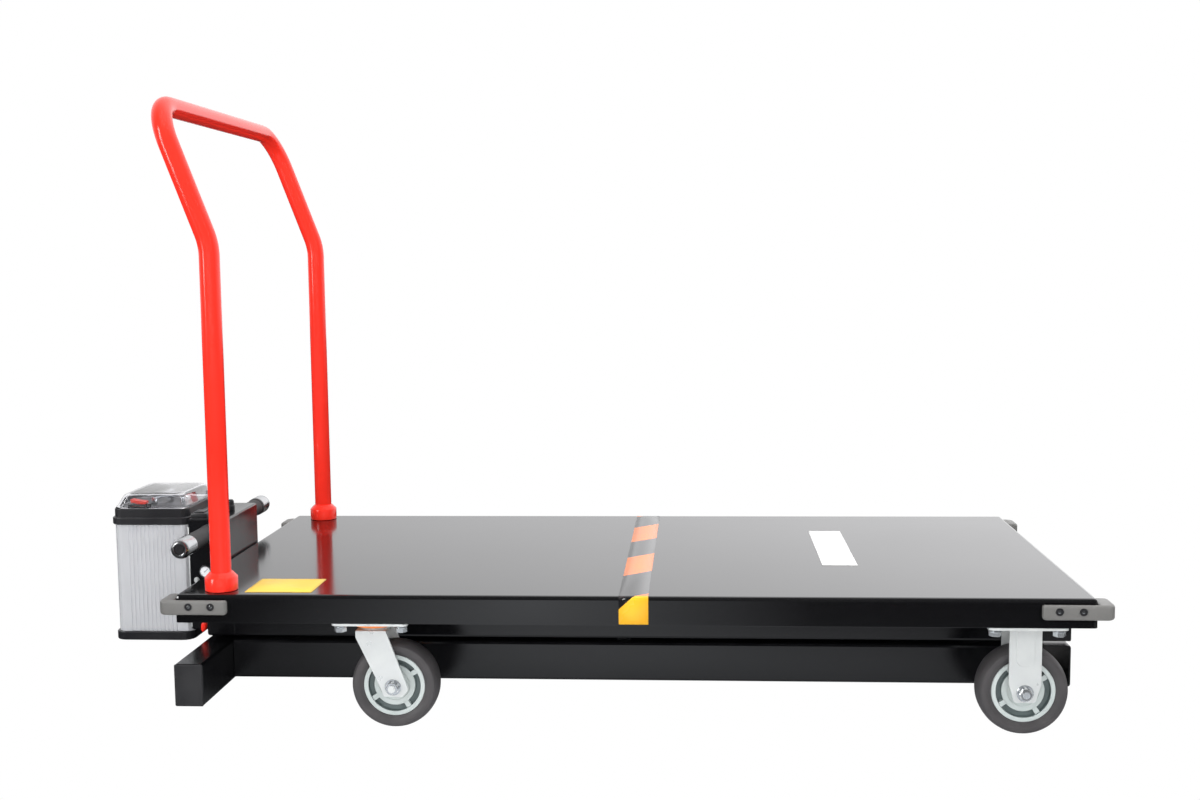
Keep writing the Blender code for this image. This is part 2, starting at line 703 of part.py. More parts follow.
def build_actuator():
    z = base_mid
    gearbox_rear = barrel_rear_x - GEARBOX_LENGTH
    pin_x = gearbox_rear - TONGUE_LENGTH + TONGUE_RADIUS
    ear_front = pin_x + TONGUE_RADIUS
    member_front = pin_x - TONGUE_RADIUS - CLEVIS_EAR
    member_low = base_low + RAIL_WALL + GAP
    member_high = member_low + CROSS_MEMBER_HEIGHT
    member = block(
        "actuator_mount",
        (member_front - CROSS_MEMBER_DEPTH, -web_inner_y + GAP, member_low),
        (member_front, web_inner_y - GAP, member_high),
        BEAM_FOLD,
        1,
    )
    ear_outline = rounded(
        [
            ((member_front - CLEVIS_EAR, member_low + CLEVIS_EAR / 2), 0.0),
            ((ear_front, member_low + CLEVIS_EAR / 2), CLEVIS_EAR / 2),
            ((ear_front, z + TONGUE_RADIUS), TONGUE_RADIUS),
            ((pin_x - TONGUE_RADIUS, z + TONGUE_RADIUS), CLEVIS_EAR / 2),
            ((pin_x - TONGUE_RADIUS, member_high - CLEVIS_EAR / 2), 0.0),
            ((member_front - CLEVIS_EAR, member_high - CLEVIS_EAR / 2), 0.0),
        ]
    )
    ear_y = TONGUE_THICK / 2 + GAP + CLEVIS_EAR / 2
    ears = [
        flat("clevis_ear_" + side, [ear_outline], CLEVIS_EAR, (0.0, sign * ear_y, 0.0), UPRIGHT)
        for side, sign in SIDES
    ]
    pin = rod("clevis_pin", CLEVIS_PIN_RADIUS, 2 * ear_y + CLEVIS_EAR / 2, (pin_x, 0.0, z), "+Y")
    finish(join(member, *ears, pin), "black_paint", "base")

    tongue_outline = rounded(
        [
            ((gearbox_rear + TONGUE_RADIUS, z - TONGUE_RADIUS), 0.0),
            ((gearbox_rear + TONGUE_RADIUS, z + TONGUE_RADIUS), 0.0),
            ((pin_x - TONGUE_RADIUS, z + TONGUE_RADIUS), TONGUE_RADIUS * 0.98),
            ((pin_x - TONGUE_RADIUS, z - TONGUE_RADIUS), TONGUE_RADIUS * 0.98),
        ]
    )
    pin_hole = circle(CLEVIS_PIN_RADIUS + PIN_CLEARANCE, (pin_x, z))
    tongue = flat("actuator_tongue", [tongue_outline, pin_hole], TONGUE_THICK, (0.0, 0.0, 0.0), UPRIGHT)
    gearbox = block(
        "actuator_motor",
        (gearbox_rear, GEARBOX_NEAR_Y, z - GEARBOX_HEIGHT / 2),
        (barrel_rear_x, GEARBOX_FAR_Y, z + GEARBOX_HEIGHT / 2),
        BEAM_FOLD,
        2,
    )
    motor_rear = barrel_rear_x - CLEVIS_EAR
    motor_x = motor_rear + (MOTOR_LENGTH + CLEVIS_EAR) / 2
    can_length = MOTOR_LENGTH + CLEVIS_EAR
    can = rod("motor_can", MOTOR_RADIUS, can_length, (motor_x, MOTOR_Y, z - MOTOR_DROP), "+X", 20)
    bevel(can, ROLLER_EDGE, 1, 60.0)
    finish(join(gearbox, tongue, can), "steel", "base")

    barrel_length = barrel_front_x - barrel_rear_x - GAP
    barrel = turned(
        "actuator_barrel",
        [
            (BARREL_RADIUS, barrel_length),
            (BARREL_RADIUS, 0.0),
            (BARREL_BORE, 0.0),
            (BARREL_BORE, barrel_length),
        ],
        20,
        (barrel_rear_x + GAP, 0.0, z),
        "+X",
    )
    finish(barrel, "aluminium", "base")

    rod_shape = turned(
        "actuator_rod",
        [
            (0.0, ROD_LENGTH),
            (ROD_RADIUS, ROD_LENGTH),
            (ROD_RADIUS, ROD_NUT),
            (ROD_NUT_RADIUS, ROD_NUT),
            (ROD_NUT_RADIUS, 0.0),
            (0.0, 0.0),
        ],
        20,
        (roller_x - ROD_LENGTH, 0.0, z),
        "+X",
    )
    eye = rod("rod_eye", ROD_EYE_RADIUS, ROD_EYE_WIDTH, (roller_x, 0.0, z), "+Y", 20)
    bore = rod("rod_bore", PIN_RADIUS + PIN_CLEARANCE, 2 * ROD_EYE_WIDTH, (roller_x, 0.0, z), "+Y")
    finish(cut(join(rod_shape, eye), bore), "steel", "actuator_rod")


# Deck


def build_deck():
    pan = folded(
        "deck_pan",
        (-deck_end, -deck_side, caster_height),
        (deck_end, deck_side, deck_top),
        ((0.0, 0.0, -1.0),),
        DECK_SHEET,
        DECK_FOLD,
        3,
    )
    finish(pan, "black_paint", "deck")

    rib_high = deck_top - DECK_SHEET - GAP
    rib_half = deck_side - DECK_SHEET - RIB_END_ROOM
    bolt_half = CASTER_BOLT_X / 2
    rib_places = (
        handle_x,
        swivel_x - bolt_half,
        swivel_x + bolt_half,
        (swivel_x + rigid_x) / 2,
        rigid_x - bolt_half,
        rigid_x + bolt_half,
    )
    ends_and_foot = ((0.0, 1.0, 0.0), (0.0, -1.0, 0.0), (0.0, 0.0, -1.0))
    ribs = [
        folded(
            "deck_rib",
            (x - RIB_WIDTH / 2, -rib_half, caster_height),
            (x + RIB_WIDTH / 2, rib_half, rib_high),
            ends_and_foot,
            RIB_WALL,
        )
        for x in rib_places
    ]
    stringers = [
        block(
            "deck_stringer",
            (-deck_end + DECK_FOLD, sign * STRINGER_Y - STRINGER_THICK / 2, caster_height + STRINGER_INSET),
            (deck_end - DECK_FOLD, sign * STRINGER_Y + STRINGER_THICK / 2, rib_high - STRINGER_INSET),
        )
        for side, sign in SIDES
    ]
    frame = join(stringers[0], *ribs, stringers[1])
    frame.name = "deck_frame"
    finish(frame, "black_paint", "deck")

    upper_beam_front = upper_beam_x + UPPER_BEAM_WIDTH
    for side, sign in SIDES:
        rail = channel(
            "upper_rail_" + side, sign, upper_beam_front + GAP, rail_front_x, upper_low, upper_high
        )
        finish(rail, "black_paint", "deck")
    rear = folded(
        "upper_rear_beam",
        (upper_beam_x, -RAIL_OUTER_Y, upper_low),
        (upper_beam_front, RAIL_OUTER_Y, upper_high),
        ((1.0, 0.0, 0.0),),
        BEAM_WALL,
        BEAM_FOLD,
    )
    finish(join(rear, *lever_lugs()), "black_paint", "deck")


def build_bumpers():
    for end_name, end in (("front", 1), ("rear", -1)):
        for side, sign in SIDES:
            corners = [
                ((-BUMPER_ARM, GAP), 0.0),
                ((GAP, GAP), 0.0),
                ((GAP, -BUMPER_RETURN), 0.0),
                ((BUMPER_NOSE, -BUMPER_RETURN), BUMPER_SIDE),
                ((BUMPER_NOSE, BUMPER_SIDE), BUMPER_CORNER),
                ((-BUMPER_ARM, BUMPER_SIDE), BUMPER_SIDE * 0.8),
            ]
            path = rounded([((x, y, 0.0), r) for (x, y), r in corners], True, 4)
            outline = [(end * point.x, sign * point.y) for point in path]
            low = deck_top - BUMPER_DROP - BUMPER_HEIGHT
            place = (end * deck_end, sign * deck_side, low + BUMPER_HEIGHT / 2)
            hole_z = place[2] + BUMPER_HOLE_RAISE
            bumper = flat("bumper_" + end_name + "_" + side, [outline], BUMPER_HEIGHT, place)
            bevel(bumper, BUMPER_EDGE, 2, 60.0)
            holes = [
                rod(
                    "bumper_hole",
                    BUMPER_HOLE_RADIUS,
                    2 * BUMPER_HOLE_DEPTH,
                    (end * (deck_end - x), sign * (deck_side + BUMPER_SIDE), hole_z),
                    "+Y",
                    12,
                )
                for x in BUMPER_HOLES
            ]
            finish(cut(bumper, *holes), "bumper_grey", "deck")


# Push handle


def build_handle():
    rise = handle_top_z - handle_bend_z
    top_x = handle_x - rise * math.tan(HANDLE_LEAN)
    foot_z = deck_top + GAP
    corners = []
    for sign in (1, -1):
        leg = [
            ((handle_x, sign * handle_half, foot_z + COLLAR_HEIGHT / 2), 0.0),
            ((handle_x, sign * handle_half, handle_bend_z), HANDLE_BEND),
            ((top_x, sign * handle_half, handle_top_z), HANDLE_CORNER),
        ]
        corners += leg if sign > 0 else leg[::-1]
    handle = tube("push_handle", rounded(corners, False, 5), TUBE_RADIUS, 6)
    profile = [
        (0.0, COLLAR_HEIGHT + COLLAR_CONE),
        (TUBE_RADIUS + COLLAR_LIP, COLLAR_HEIGHT + COLLAR_CONE),
        (COLLAR_RADIUS, COLLAR_HEIGHT),
        (COLLAR_RADIUS, 0.0),
        (0.0, 0.0),
    ]
    collars = [
        turned("handle_collar_" + side, profile, 24, (handle_x, sign * handle_half, foot_z))
        for side, sign in SIDES
    ]
    finish(join(handle, *collars), "red_paint", "deck")


# Casters


def caster_plate(name, x, y):
    half_x = CASTER_PLATE_LENGTH / 2
    half_y = CASTER_PLATE_WIDTH / 2
    signs = ((1, 1), (-1, 1), (-1, -1), (1, -1))
    corners = [((a * half_x, b * half_y, 0.0), CASTER_PLATE_CORNER) for a, b in signs]
    outline = rounded(corners, True, 3)
    return flat(name, [outline], CASTER_PLATE, (x, y, plate_low + CASTER_PLATE / 2))


def fork_leg(corners, x, y):
    """One leg of a fork, drawn from the side."""
    outline = rounded([((a, b, 0.0), r) for (a, b), r in corners], True, 3)
    return flat("fork_leg", [outline], FORK_THICK, (x, y, 0.0), UPRIGHT)


def axle(x, y):
    """Axle bolt through both legs of a fork, with a head at one end and a nut at the other."""
    reach = FORK_INSIDE + FORK_THICK
    shank = rod("axle_shank", AXLE_RADIUS, 2 * (reach + AXLE_HEAD + AXLE_END), (x, y, axle_z), "+Y", 12)
    pieces = [shank]
    for side, sign in SIDES:
        place = (x, y + sign * (reach + AXLE_HEAD / 2 - WELD), axle_z)
        pieces.append(rod("axle_nut", AXLE_HEAD_RADIUS, AXLE_HEAD, place, "+Y", 6))
    return pieces


def wheel(name, body_name, x, y):
    """Crowned tyre on a moulded hub with a boss, a thin web and short spokes."""
    widen = 1.0 / math.cos(math.pi / WHEEL_SIDES)
    start = math.pi / WHEEL_SIDES
    seat = (HUB_RADIUS + GAP) * widen
    tread = WHEEL_RADIUS * widen
    shoulder = (WHEEL_RADIUS - SHOULDER_DROP) * widen
    sidewall = (WHEEL_RADIUS - SIDEWALL_DROP) * widen
    tyre_profile = [
        (seat, HUB_HALF),
        (sidewall, TYRE_HALF),
        (shoulder, SHOULDER_HALF),
        (tread, TREAD_HALF),
        (tread, -TREAD_HALF),
        (shoulder, -SHOULDER_HALF),
        (sidewall, -TYRE_HALF),
        (seat, -HUB_HALF),
    ]
    place = (x, y, axle_z)
    tyre = turned("tyre_" + name, tyre_profile, WHEEL_SIDES, place, "+Y", start)
    finish(tyre, "tyre", body_name)
    rim = HUB_RADIUS * widen
    rim_inner = (HUB_RADIUS - HUB_RIM) * widen
    boss = HUB_BOSS_RADIUS * widen
    bore = AXLE_RADIUS + PIN_CLEARANCE
    hub_profile = [
        (rim, HUB_HALF),
        (rim, -HUB_HALF),
        (rim_inner, -HUB_HALF),
        (rim_inner - HUB_DRAFT, -HUB_WEB_HALF),
        (boss + HUB_DRAFT, -HUB_WEB_HALF),
        (boss, -HUB_BOSS_HALF),
        (bore, -HUB_BOSS_HALF),
        (bore, HUB_BOSS_HALF),
        (boss, HUB_BOSS_HALF),
        (boss + HUB_DRAFT, HUB_WEB_HALF),
        (rim_inner - HUB_DRAFT, HUB_WEB_HALF),
        (rim_inner, HUB_HALF),
    ]
    hub = turned("hub_" + name, hub_profile, WHEEL_SIDES, place, "+Y", start)
    finish(hub, "hub_grey", body_name)


def build_swivel_casters():
    crown_high = plate_low - RACE_HEIGHT - GAP - FORK_RING
    crown_low = crown_high - FORK_CROWN
    race_bore = KINGPIN_RADIUS + PIN_CLEARANCE
    race_profile = [
        (RACE_RADIUS, CASTER_PLATE / 4),
        (RACE_RADIUS, -RACE_LIP),
        (RACE_FOOT_RADIUS, -RACE_HEIGHT),
        (race_bore, -RACE_HEIGHT),
        (race_bore, CASTER_PLATE / 4),
    ]
    leg_corners = [
        ((-CROWN_REAR, crown_high - WELD), 0.0),
        ((-CROWN_REAR, crown_low - FORK_CROWN), FORK_CROWN),
        ((SWIVEL_TRAIL - FORK_LEG_HALF * 0.9, axle_z + FORK_THICK), FORK_CROWN),
        ((SWIVEL_TRAIL - FORK_LEG_HALF * 0.6, axle_z - FORK_FOOT), FORK_CROWN / 2),
        ((SWIVEL_TRAIL + FORK_LEG_HALF * 0.6, axle_z - FORK_FOOT), FORK_CROWN / 2),
        ((SWIVEL_TRAIL + FORK_LEG_HALF, axle_z - FORK_THICK), FORK_CROWN),
        ((CROWN_FRONT, crown_high - WELD), 0.0),
    ]
    for side, sign in SIDES:
        y = sign * caster_y
        plate = caster_plate("swivel_plate_" + side, swivel_x, y)
        race = turned("swivel_race", race_profile, 20, (swivel_x, y, plate_low))
        finish(join(plate, race), "zinc", "deck")
        crown = block(
            "swivel_fork_" + side,
            (swivel_x - CROWN_REAR + WELD, y - FORK_INSIDE - FORK_THICK + 2 * WELD, crown_low),
            (swivel_x + CROWN_FRONT - WELD, y + FORK_INSIDE + FORK_THICK - 2 * WELD, crown_high),
        )
        legs = [
            fork_leg(leg_corners, swivel_x, y + out * (FORK_INSIDE + FORK_THICK / 2)) for out in (1, -1)
        ]
        ring_z = crown_high + FORK_RING / 2 - WELD
        ring = rod("fork_ring", FORK_RING_RADIUS, FORK_RING + 2 * WELD, (swivel_x, y, ring_z), "+Z", 20)
        pin_low = crown_high - FORK_CROWN / 2
        pin_high = plate_low - GAP
        kingpin = rod(
            "kingpin", KINGPIN_RADIUS, pin_high - pin_low, (swivel_x, y, (pin_low + pin_high) / 2), "+Z", 16
        )
        bolt = axle(swivel_x + SWIVEL_TRAIL, y)
        finish(join(crown, *legs, ring, kingpin, *bolt), "zinc", "swivel_" + side)
        wheel("swivel_" + side, "swivel_wheel_" + side, swivel_x + SWIVEL_TRAIL, y)


def build_rigid_casters():
    leg_high = plate_low + CASTER_PLATE / 2
    leg_corners = [
        ((-FORK_LEG_HALF, leg_high), 0.0),
        ((-FORK_LEG_HALF, axle_z + FORK_TAPER), FORK_CROWN),
        ((-FORK_LEG_HALF * 0.65, axle_z - FORK_FOOT), FORK_CROWN),
        ((FORK_LEG_HALF * 0.65, axle_z - FORK_FOOT), FORK_CROWN),
        ((FORK_LEG_HALF, axle_z + FORK_TAPER), FORK_CROWN),
        ((FORK_LEG_HALF, leg_high), 0.0),
    ]
    rib_corners = [
        ((-RIB_HALF, plate_low + WELD), 0.0),
        ((-RIB_HALF, axle_z + RIB_FOOT), RIB_HALF * 0.8),
        ((RIB_HALF, axle_z + RIB_FOOT), RIB_HALF * 0.8),
        ((RIB_HALF, plate_low + WELD), 0.0),
    ]
    rib_outline = rounded([((a, b, 0.0), r) for (a, b), r in rib_corners], True, 4)
    for side, sign in SIDES:
        y = sign * caster_y
        fork = caster_plate("rigid_fork_" + side, rigid_x, y)
        legs = [
            fork_leg(leg_corners, rigid_x, y + out * (FORK_INSIDE + FORK_THICK / 2)) for out in (1, -1)
        ]
        rib_thick = FORK_THICK / 2 + RIB_RAISE
        ribs = [
            flat(
                "leg_rib",
                [rib_outline],
                rib_thick,
                (rigid_x, y + out * (FORK_INSIDE + FORK_THICK + RIB_RAISE - rib_thick / 2), 0.0),
                UPRIGHT,
            )
            for out in (1, -1)
        ]
        finish(join(fork, *legs, *ribs, *axle(rigid_x, y)), "zinc", "deck")
        wheel("rigid_" + side, "rigid_wheel_" + side, rigid_x, y)


# Power unit


def rounded_box_outline(rear, front, half, radius, steps=4):
    corners = [
        ((front, half, 0.0), radius),
        ((rear, half, 0.0), radius),
        ((rear, -half, 0.0), radius),
        ((front, -half, 0.0), radius),
    ]
    return rounded(corners, True, steps)


def fluted(outline, pitch, depth, flat_front):
    """Adds shallow flutes to the straight stretches of an outline, except the one at the front."""
    path = []
    count = len(outline)
    for index, here in enumerate(outline):
        after = outline[(index + 1) % count]
        path.append(here)
        run = after - here
        if run.length < 6 * pitch or min(here.x, after.x) > flat_front:
            continue
        inward = Vector((-run.y, run.x, 0.0)).normalized() * depth
        total = int(run.length / pitch) - 2
        first = here + run.normalized() * (run.length - total * pitch) / 2
        for number in range(total):
            groove = first + run.normalized() * pitch * (number + 0.5)
            lip = run.normalized() * pitch * 0.22
            floor = run.normalized() * pitch * 0.12
            path += [groove - lip, groove - floor + inward, groove + floor + inward, groove + lip]
    return path


def slab(name, outline, low, high):
    return flat(name, [outline], high - low, (0.0, 0.0, (low + high) / 2))


def build_battery():
    half = CASE_WIDTH / 2
    outer = rounded_box_outline(case_rear, case_front, half, CASE_CORNER)
    wall = CASE_WALL
    inner = rounded_box_outline(case_rear + wall, case_front - wall, half - wall, CASE_CORNER - wall)
    height = case_top_z - case_low_z - 2 * GAP
    case = flat(
        "battery_case",
        [fluted(outer, FLUTE_PITCH, FLUTE_DEPTH, case_x), inner],
        height,
        (0.0, 0.0, (case_low_z + case_top_z) / 2),
    )
    finish(case, "aluminium", "deck")

    over = CAP_OVERHANG
    cap_front = case_front + GAP / 2
    foot_outline = rounded_box_outline(case_rear - over, cap_front, half + over, CASE_CORNER + over)
    bottom = slab("case_bottom_cap", foot_outline, case_low_z - BOTTOM_CAP, case_low_z)
    bevel(bottom, CAP_EDGE, 2, 60.0)
    finish(bottom, "black_plastic", "deck")

    top = slab("case_top_cap", foot_outline, case_top_z, case_top_z + TOP_CAP_RIM)
    bevel(top, CAP_EDGE / 2, 1, 60.0)
    inset = over - TOP_CAP_INSET
    step_outline = rounded_box_outline(
        case_rear - inset, cap_front - TOP_CAP_INSET, half + inset, CASE_CORNER + inset
    )
    step = slab("cap_step", step_outline, case_top_z + TOP_CAP_RIM - CAP_EDGE, cap_top_z)
    bevel(step, CAP_EDGE / 2, 1, 60.0)
    switch_base = block(
        "switch_base",
        (switch_x - SWITCH_LENGTH / 2, SWITCH_Y - SWITCH_WIDTH / 2, cap_top_z - CAP_EDGE),
        (switch_x + SWITCH_LENGTH / 2, SWITCH_Y + SWITCH_WIDTH / 2, cap_top_z + SWITCH_BASE),
    )
    finish(join(top, step, switch_base), "black_plastic", "deck")

    clear = PACK_CLEARANCE + CASE_WALL
    pack = block(
        "battery_pack",
        (case_rear + clear, -half + clear, case_low_z + GAP),
        (case_front - clear, half - clear, case_low_z + GAP + PACK_HEIGHT),
        CASE_CORNER - clear,
        2,
    )
    finish(pack, "switch_red", "deck")


def build_lid_and_switch():
    inset = LID_INSET - CAP_OVERHANG + TOP_CAP_INSET
    low_z = cap_top_z + GAP
    lid = folded(
        "clear_lid",
        (case_rear + inset, -CASE_WIDTH / 2 + inset, low_z),
        (case_front - TOP_CAP_INSET - LID_INSET, CASE_WIDTH / 2 - inset, low_z + LID_HEIGHT),
        ((0.0, 0.0, -1.0),),
        LID_WALL,
        LID_FOLD,
        4,
    )
    for place in lid.data.vertices:
        if place.co.z > 0.0:
            place.co.x += LID_REAR_SLOPE if place.co.x < 0.0 else -LID_SIDE_SLOPE
            place.co.y += LID_SIDE_SLOPE if place.co.y < 0.0 else -LID_SIDE_SLOPE
    below = block(
        "lid_foot",
        (case_rear - CASE_LENGTH, -CASE_WIDTH, low_z - LID_FOLD),
        (case_front + CASE_LENGTH, CASE_WIDTH, low_z + WELD),
    )
    finish(cut(lid, below), "clear", "lid")

    foot_z = cap_top_z + SWITCH_BASE + GAP
    half = SWITCH_LENGTH / 2 - ROCKER_FOOT
    lift = half * math.tan(SWITCH_TILT)
    outline = [
        (-half, foot_z + lift),
        (0.0, foot_z),
        (half, foot_z),
        (half, foot_z + ROCKER_THICK - lift / 2),
        (0.0, foot_z + ROCKER_THICK),
        (-half, foot_z + ROCKER_THICK + lift),
    ]
    rocker = flat(
        "switch_rocker",
        [outline],
        SWITCH_WIDTH - ROCKER_FOOT,
        (switch_x, SWITCH_Y, 0.0),
        UPRIGHT,
    )
    bevel(rocker, ROCKER_FOOT / 4, 2, 50.0)
    finish(rocker, "switch_red", "rocker")


def build_control_box():
    step_x = upper_beam_x - BOX_LIFT
    wall = BOX_WALL
    outer = [
        (box_rear, box_foot_z),
        (step_x, box_foot_z),
        (step_x, box_low),
        (box_front, box_low),
        (box_front, box_top_z),
        (box_rear, box_top_z),
    ]
    inner = [
        (box_rear + wall, box_foot_z - wall),
        (step_x - wall, box_foot_z - wall),
        (step_x - wall, box_low + wall),
        (box_front - wall, box_low + wall),
        (box_front - wall, box_top_z - wall),
        (box_rear + wall, box_top_z - wall),
    ]
    box = flat("control_box", [outer], 2 * BOX_HALF, (0.0, 0.0, 0.0), UPRIGHT)
    bevel(box, BOX_FOLD, 2, 60.0)
    inside = flat("box_inside", [inner], 2 * (BOX_HALF - wall), (0.0, 0.0, 0.0), UPRIGHT)
    hole_radius = GRIP_BAR_RADIUS + PIN_CLEARANCE
    bar_hole = rod("bar_hole", hole_radius, 2 * GRIP_HALF, (grip_x, 0.0, grip_z), "+Y", 20)
    finish(cut(box, inside, bar_hole), "black_paint", "deck")

    sleeve_out = GRIP_HALF - GRIP_END_LENGTH
    profile = [
        (0.0, GRIP_HALF - GRIP_BORE_DEPTH),
        (GRIP_BORE_RADIUS, GRIP_HALF - GRIP_BORE_DEPTH),
        (GRIP_BORE_RADIUS, GRIP_HALF),
        (GRIP_FACE_RADIUS, GRIP_HALF),
        (GRIP_END_RADIUS - GRIP_END_EDGE / 3, GRIP_HALF - GRIP_END_EDGE * 0.6),
        (GRIP_END_RADIUS, GRIP_HALF - 2 * GRIP_END_EDGE),
        (GRIP_END_RADIUS, sleeve_out),
        (GRIP_BAR_RADIUS, sleeve_out),
    ]
    mirrored = [(r, -h) for r, h in reversed(profile)]
    bar = turned("grip_bar", profile + mirrored, 16, (grip_x, 0.0, grip_z), "+Y")
    finish(bar, "grip_metal", "deck")

    sleeve_length = sleeve_out - GAP - BOX_HALF - GAP
    sleeve_profile = [
        (GRIP_RADIUS, sleeve_length),
        (GRIP_RADIUS, 0.0),
        (GRIP_BAR_RADIUS + GAP, 0.0),
        (GRIP_BAR_RADIUS + GAP, sleeve_length),
    ]
    for side, sign in SIDES:
        place = (grip_x, sign * (BOX_HALF + GAP), grip_z)
        sleeve = turned("hand_grip_" + side, sleeve_profile, 20, place, "+Y" if sign > 0 else "-Y")
        finish(sleeve, "grip_rubber", "deck")

    bezel = GAUGE_RADIUS - RACE_LIP
    gauge = turned(
        "gauge",
        [
            (0.0, GAUGE_THICK - RACE_LIP / 2),
            (bezel, GAUGE_THICK - RACE_LIP / 2),
            (bezel, GAUGE_THICK),
            (GAUGE_RADIUS - RACE_LIP / 4, GAUGE_THICK),
            (GAUGE_RADIUS, GAUGE_THICK - RACE_LIP / 4),
            (GAUGE_RADIUS, 0.0),
            (0.0, 0.0),
        ],
        24,
        (box_front - GAUGE_FROM_FRONT, -BOX_HALF - GAP, gauge_z),
        "-Y",
    )
    finish(gauge, "gauge_white", "deck")

    gland = turned(
        "cable_gland",
        [
            (0.0, GLAND_HEIGHT),
            (GLAND_RADIUS * 0.5, GLAND_HEIGHT),
            (GLAND_RADIUS * 0.8, GLAND_HEIGHT * 0.85),
            (GLAND_RADIUS * 0.85, GLAND_HEIGHT * 0.45),
            (GLAND_RADIUS, GLAND_HEIGHT * 0.4),
            (GLAND_RADIUS, 0.0),
            (0.0, 0.0),
        ],
        12,
        (box_front - GLAND_FROM_FRONT, GLAND_RADIUS, box_top_z + GAP),
    )
    finish(gland, "black_plastic", "deck")


# Release lever


def lever_lugs():
    """Two lugs and a pin on the back of the upper rear beam, which carry the lever."""
    lugs = []
    inner = LEVER_WIDTH / 2 + GAP
    back = lever_x - LEVER_BOSS_RADIUS
    for side, sign in SIDES:
        y = sorted((LEVER_Y + sign * inner, LEVER_Y + sign * (inner + LUG_THICK)))
        lugs.append(
            block(
                "lever_lug_" + side,
                (back, y[0], lever_z - LEVER_BOSS_RADIUS),
                (upper_beam_x + BEAM_WALL / 2, y[1], lever_z + LEVER_BOSS_RADIUS),
            )
        )
    pin = rod("lever_pin", LEVER_PIN_RADIUS, 2 * inner + LUG_THICK, (lever_x, LEVER_Y, lever_z), "+Y", 12)
    return [*lugs, pin]


def build_lever():
    turn = (math.pi / 2, LEVER_LEAN, 0.0)
    half = LEVER_BOSS_RADIUS * 0.6
    outline = []
    for step in range(9):
        angle = math.radians(-50.0 + 280.0 * step / 8)
        outline.append((LEVER_BOSS_RADIUS * math.cos(angle), LEVER_BOSS_RADIUS * math.sin(angle)))
    outline += [(-half, -LEVER_ARM), (half, -LEVER_ARM)]
    hole = circle(LEVER_PIN_RADIUS + PIN_CLEARANCE, (0.0, 0.0), 12)
    lever = flat(
        "release_lever", [outline, hole], LEVER_WIDTH - 2 * GAP, (lever_x, LEVER_Y, lever_z), turn
    )
    drop = LEVER_ARM + LEVER_GRIP / 2 - LEVER_BOSS_RADIUS
    sway = -math.sin(LEVER_LEAN)
    place = (lever_x + sway * drop, LEVER_Y, lever_z - math.cos(LEVER_LEAN) * drop)
    shape = bmesh.new()
    bmesh.ops.create_uvsphere(shape, u_segments=12, v_segments=8, radius=1.0)
    bmesh.ops.scale(shape, vec=(LEVER_GRIP_RADIUS, LEVER_GRIP_RADIUS, LEVER_GRIP * 0.6), verts=shape.verts)
    grip = add_shape("lever_grip", shape, place, (0.0, LEVER_LEAN, 0.0))
    finish(join(lever, grip), "red_paint", "lever")


build_base()
build_scissor()
build_actuator()
build_deck()
build_bumpers()
build_handle()
build_swivel_casters()
build_rigid_casters()
build_battery()
build_lid_and_switch()
build_control_box()
build_lever()
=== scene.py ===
# %% [markdown]
# # Dressing an electric lifting trolley
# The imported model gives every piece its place, its size and the way it moves. This lesson puts
# the looks on it: powder coat, zinc plate, rubber, moulded plastic and a clear lid, with the
# bolts, tape and small fittings that the model leaves out.

import math

import bmesh
import bpy
from mathutils import Matrix, Vector


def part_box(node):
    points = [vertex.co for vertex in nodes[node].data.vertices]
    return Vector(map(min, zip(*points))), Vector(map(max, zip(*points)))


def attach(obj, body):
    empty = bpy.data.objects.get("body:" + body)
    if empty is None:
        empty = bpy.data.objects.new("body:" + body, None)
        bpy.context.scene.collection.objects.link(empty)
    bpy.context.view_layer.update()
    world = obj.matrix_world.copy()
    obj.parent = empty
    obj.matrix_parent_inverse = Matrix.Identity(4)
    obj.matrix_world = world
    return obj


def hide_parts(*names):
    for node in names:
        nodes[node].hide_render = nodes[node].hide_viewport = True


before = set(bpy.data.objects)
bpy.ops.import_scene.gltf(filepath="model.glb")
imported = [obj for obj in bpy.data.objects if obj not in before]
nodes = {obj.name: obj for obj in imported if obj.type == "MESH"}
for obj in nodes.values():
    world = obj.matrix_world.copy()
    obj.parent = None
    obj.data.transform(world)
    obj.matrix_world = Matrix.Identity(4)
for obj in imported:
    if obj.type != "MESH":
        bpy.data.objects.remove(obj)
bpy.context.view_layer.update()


def corners(node):
    """Lowest and highest corner of a piece of the model."""
    low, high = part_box(node)
    return Vector(low), Vector(high)


def centre(node):
    """Middle of a piece of the model."""
    low, high = corners(node)
    return (low + high) / 2


deck_low, deck_high = corners("deck_pan")
deck_x = (deck_low.x + deck_high.x) / 2
deck_top = deck_high.z
print("deck", [round(v, 3) for v in deck_high - deck_low], "top at", round(deck_top, 3))

# %% [markdown]
# ## Turned pieces
# Bolts, wheels, collars, grips and the gauge are round. Each is drawn as half of its section, in
# pairs of radius and height, and turned about an axis. Several can go into one shape, so that a
# bolt with its washer becomes one piece.

# %% Lathe
AXES = {
    "z": Matrix.Identity(3),
    "-z": Matrix(((1, 0, 0), (0, -1, 0), (0, 0, -1))),
    "y": Matrix(((1, 0, 0), (0, 0, 1), (0, -1, 0))),
    "-y": Matrix(((1, 0, 0), (0, 0, -1), (0, 1, 0))),
}


def paint(faces, slot):
    """Gives faces one of their piece's finishes, by its number."""
    for face in faces:
        face.material_index = slot


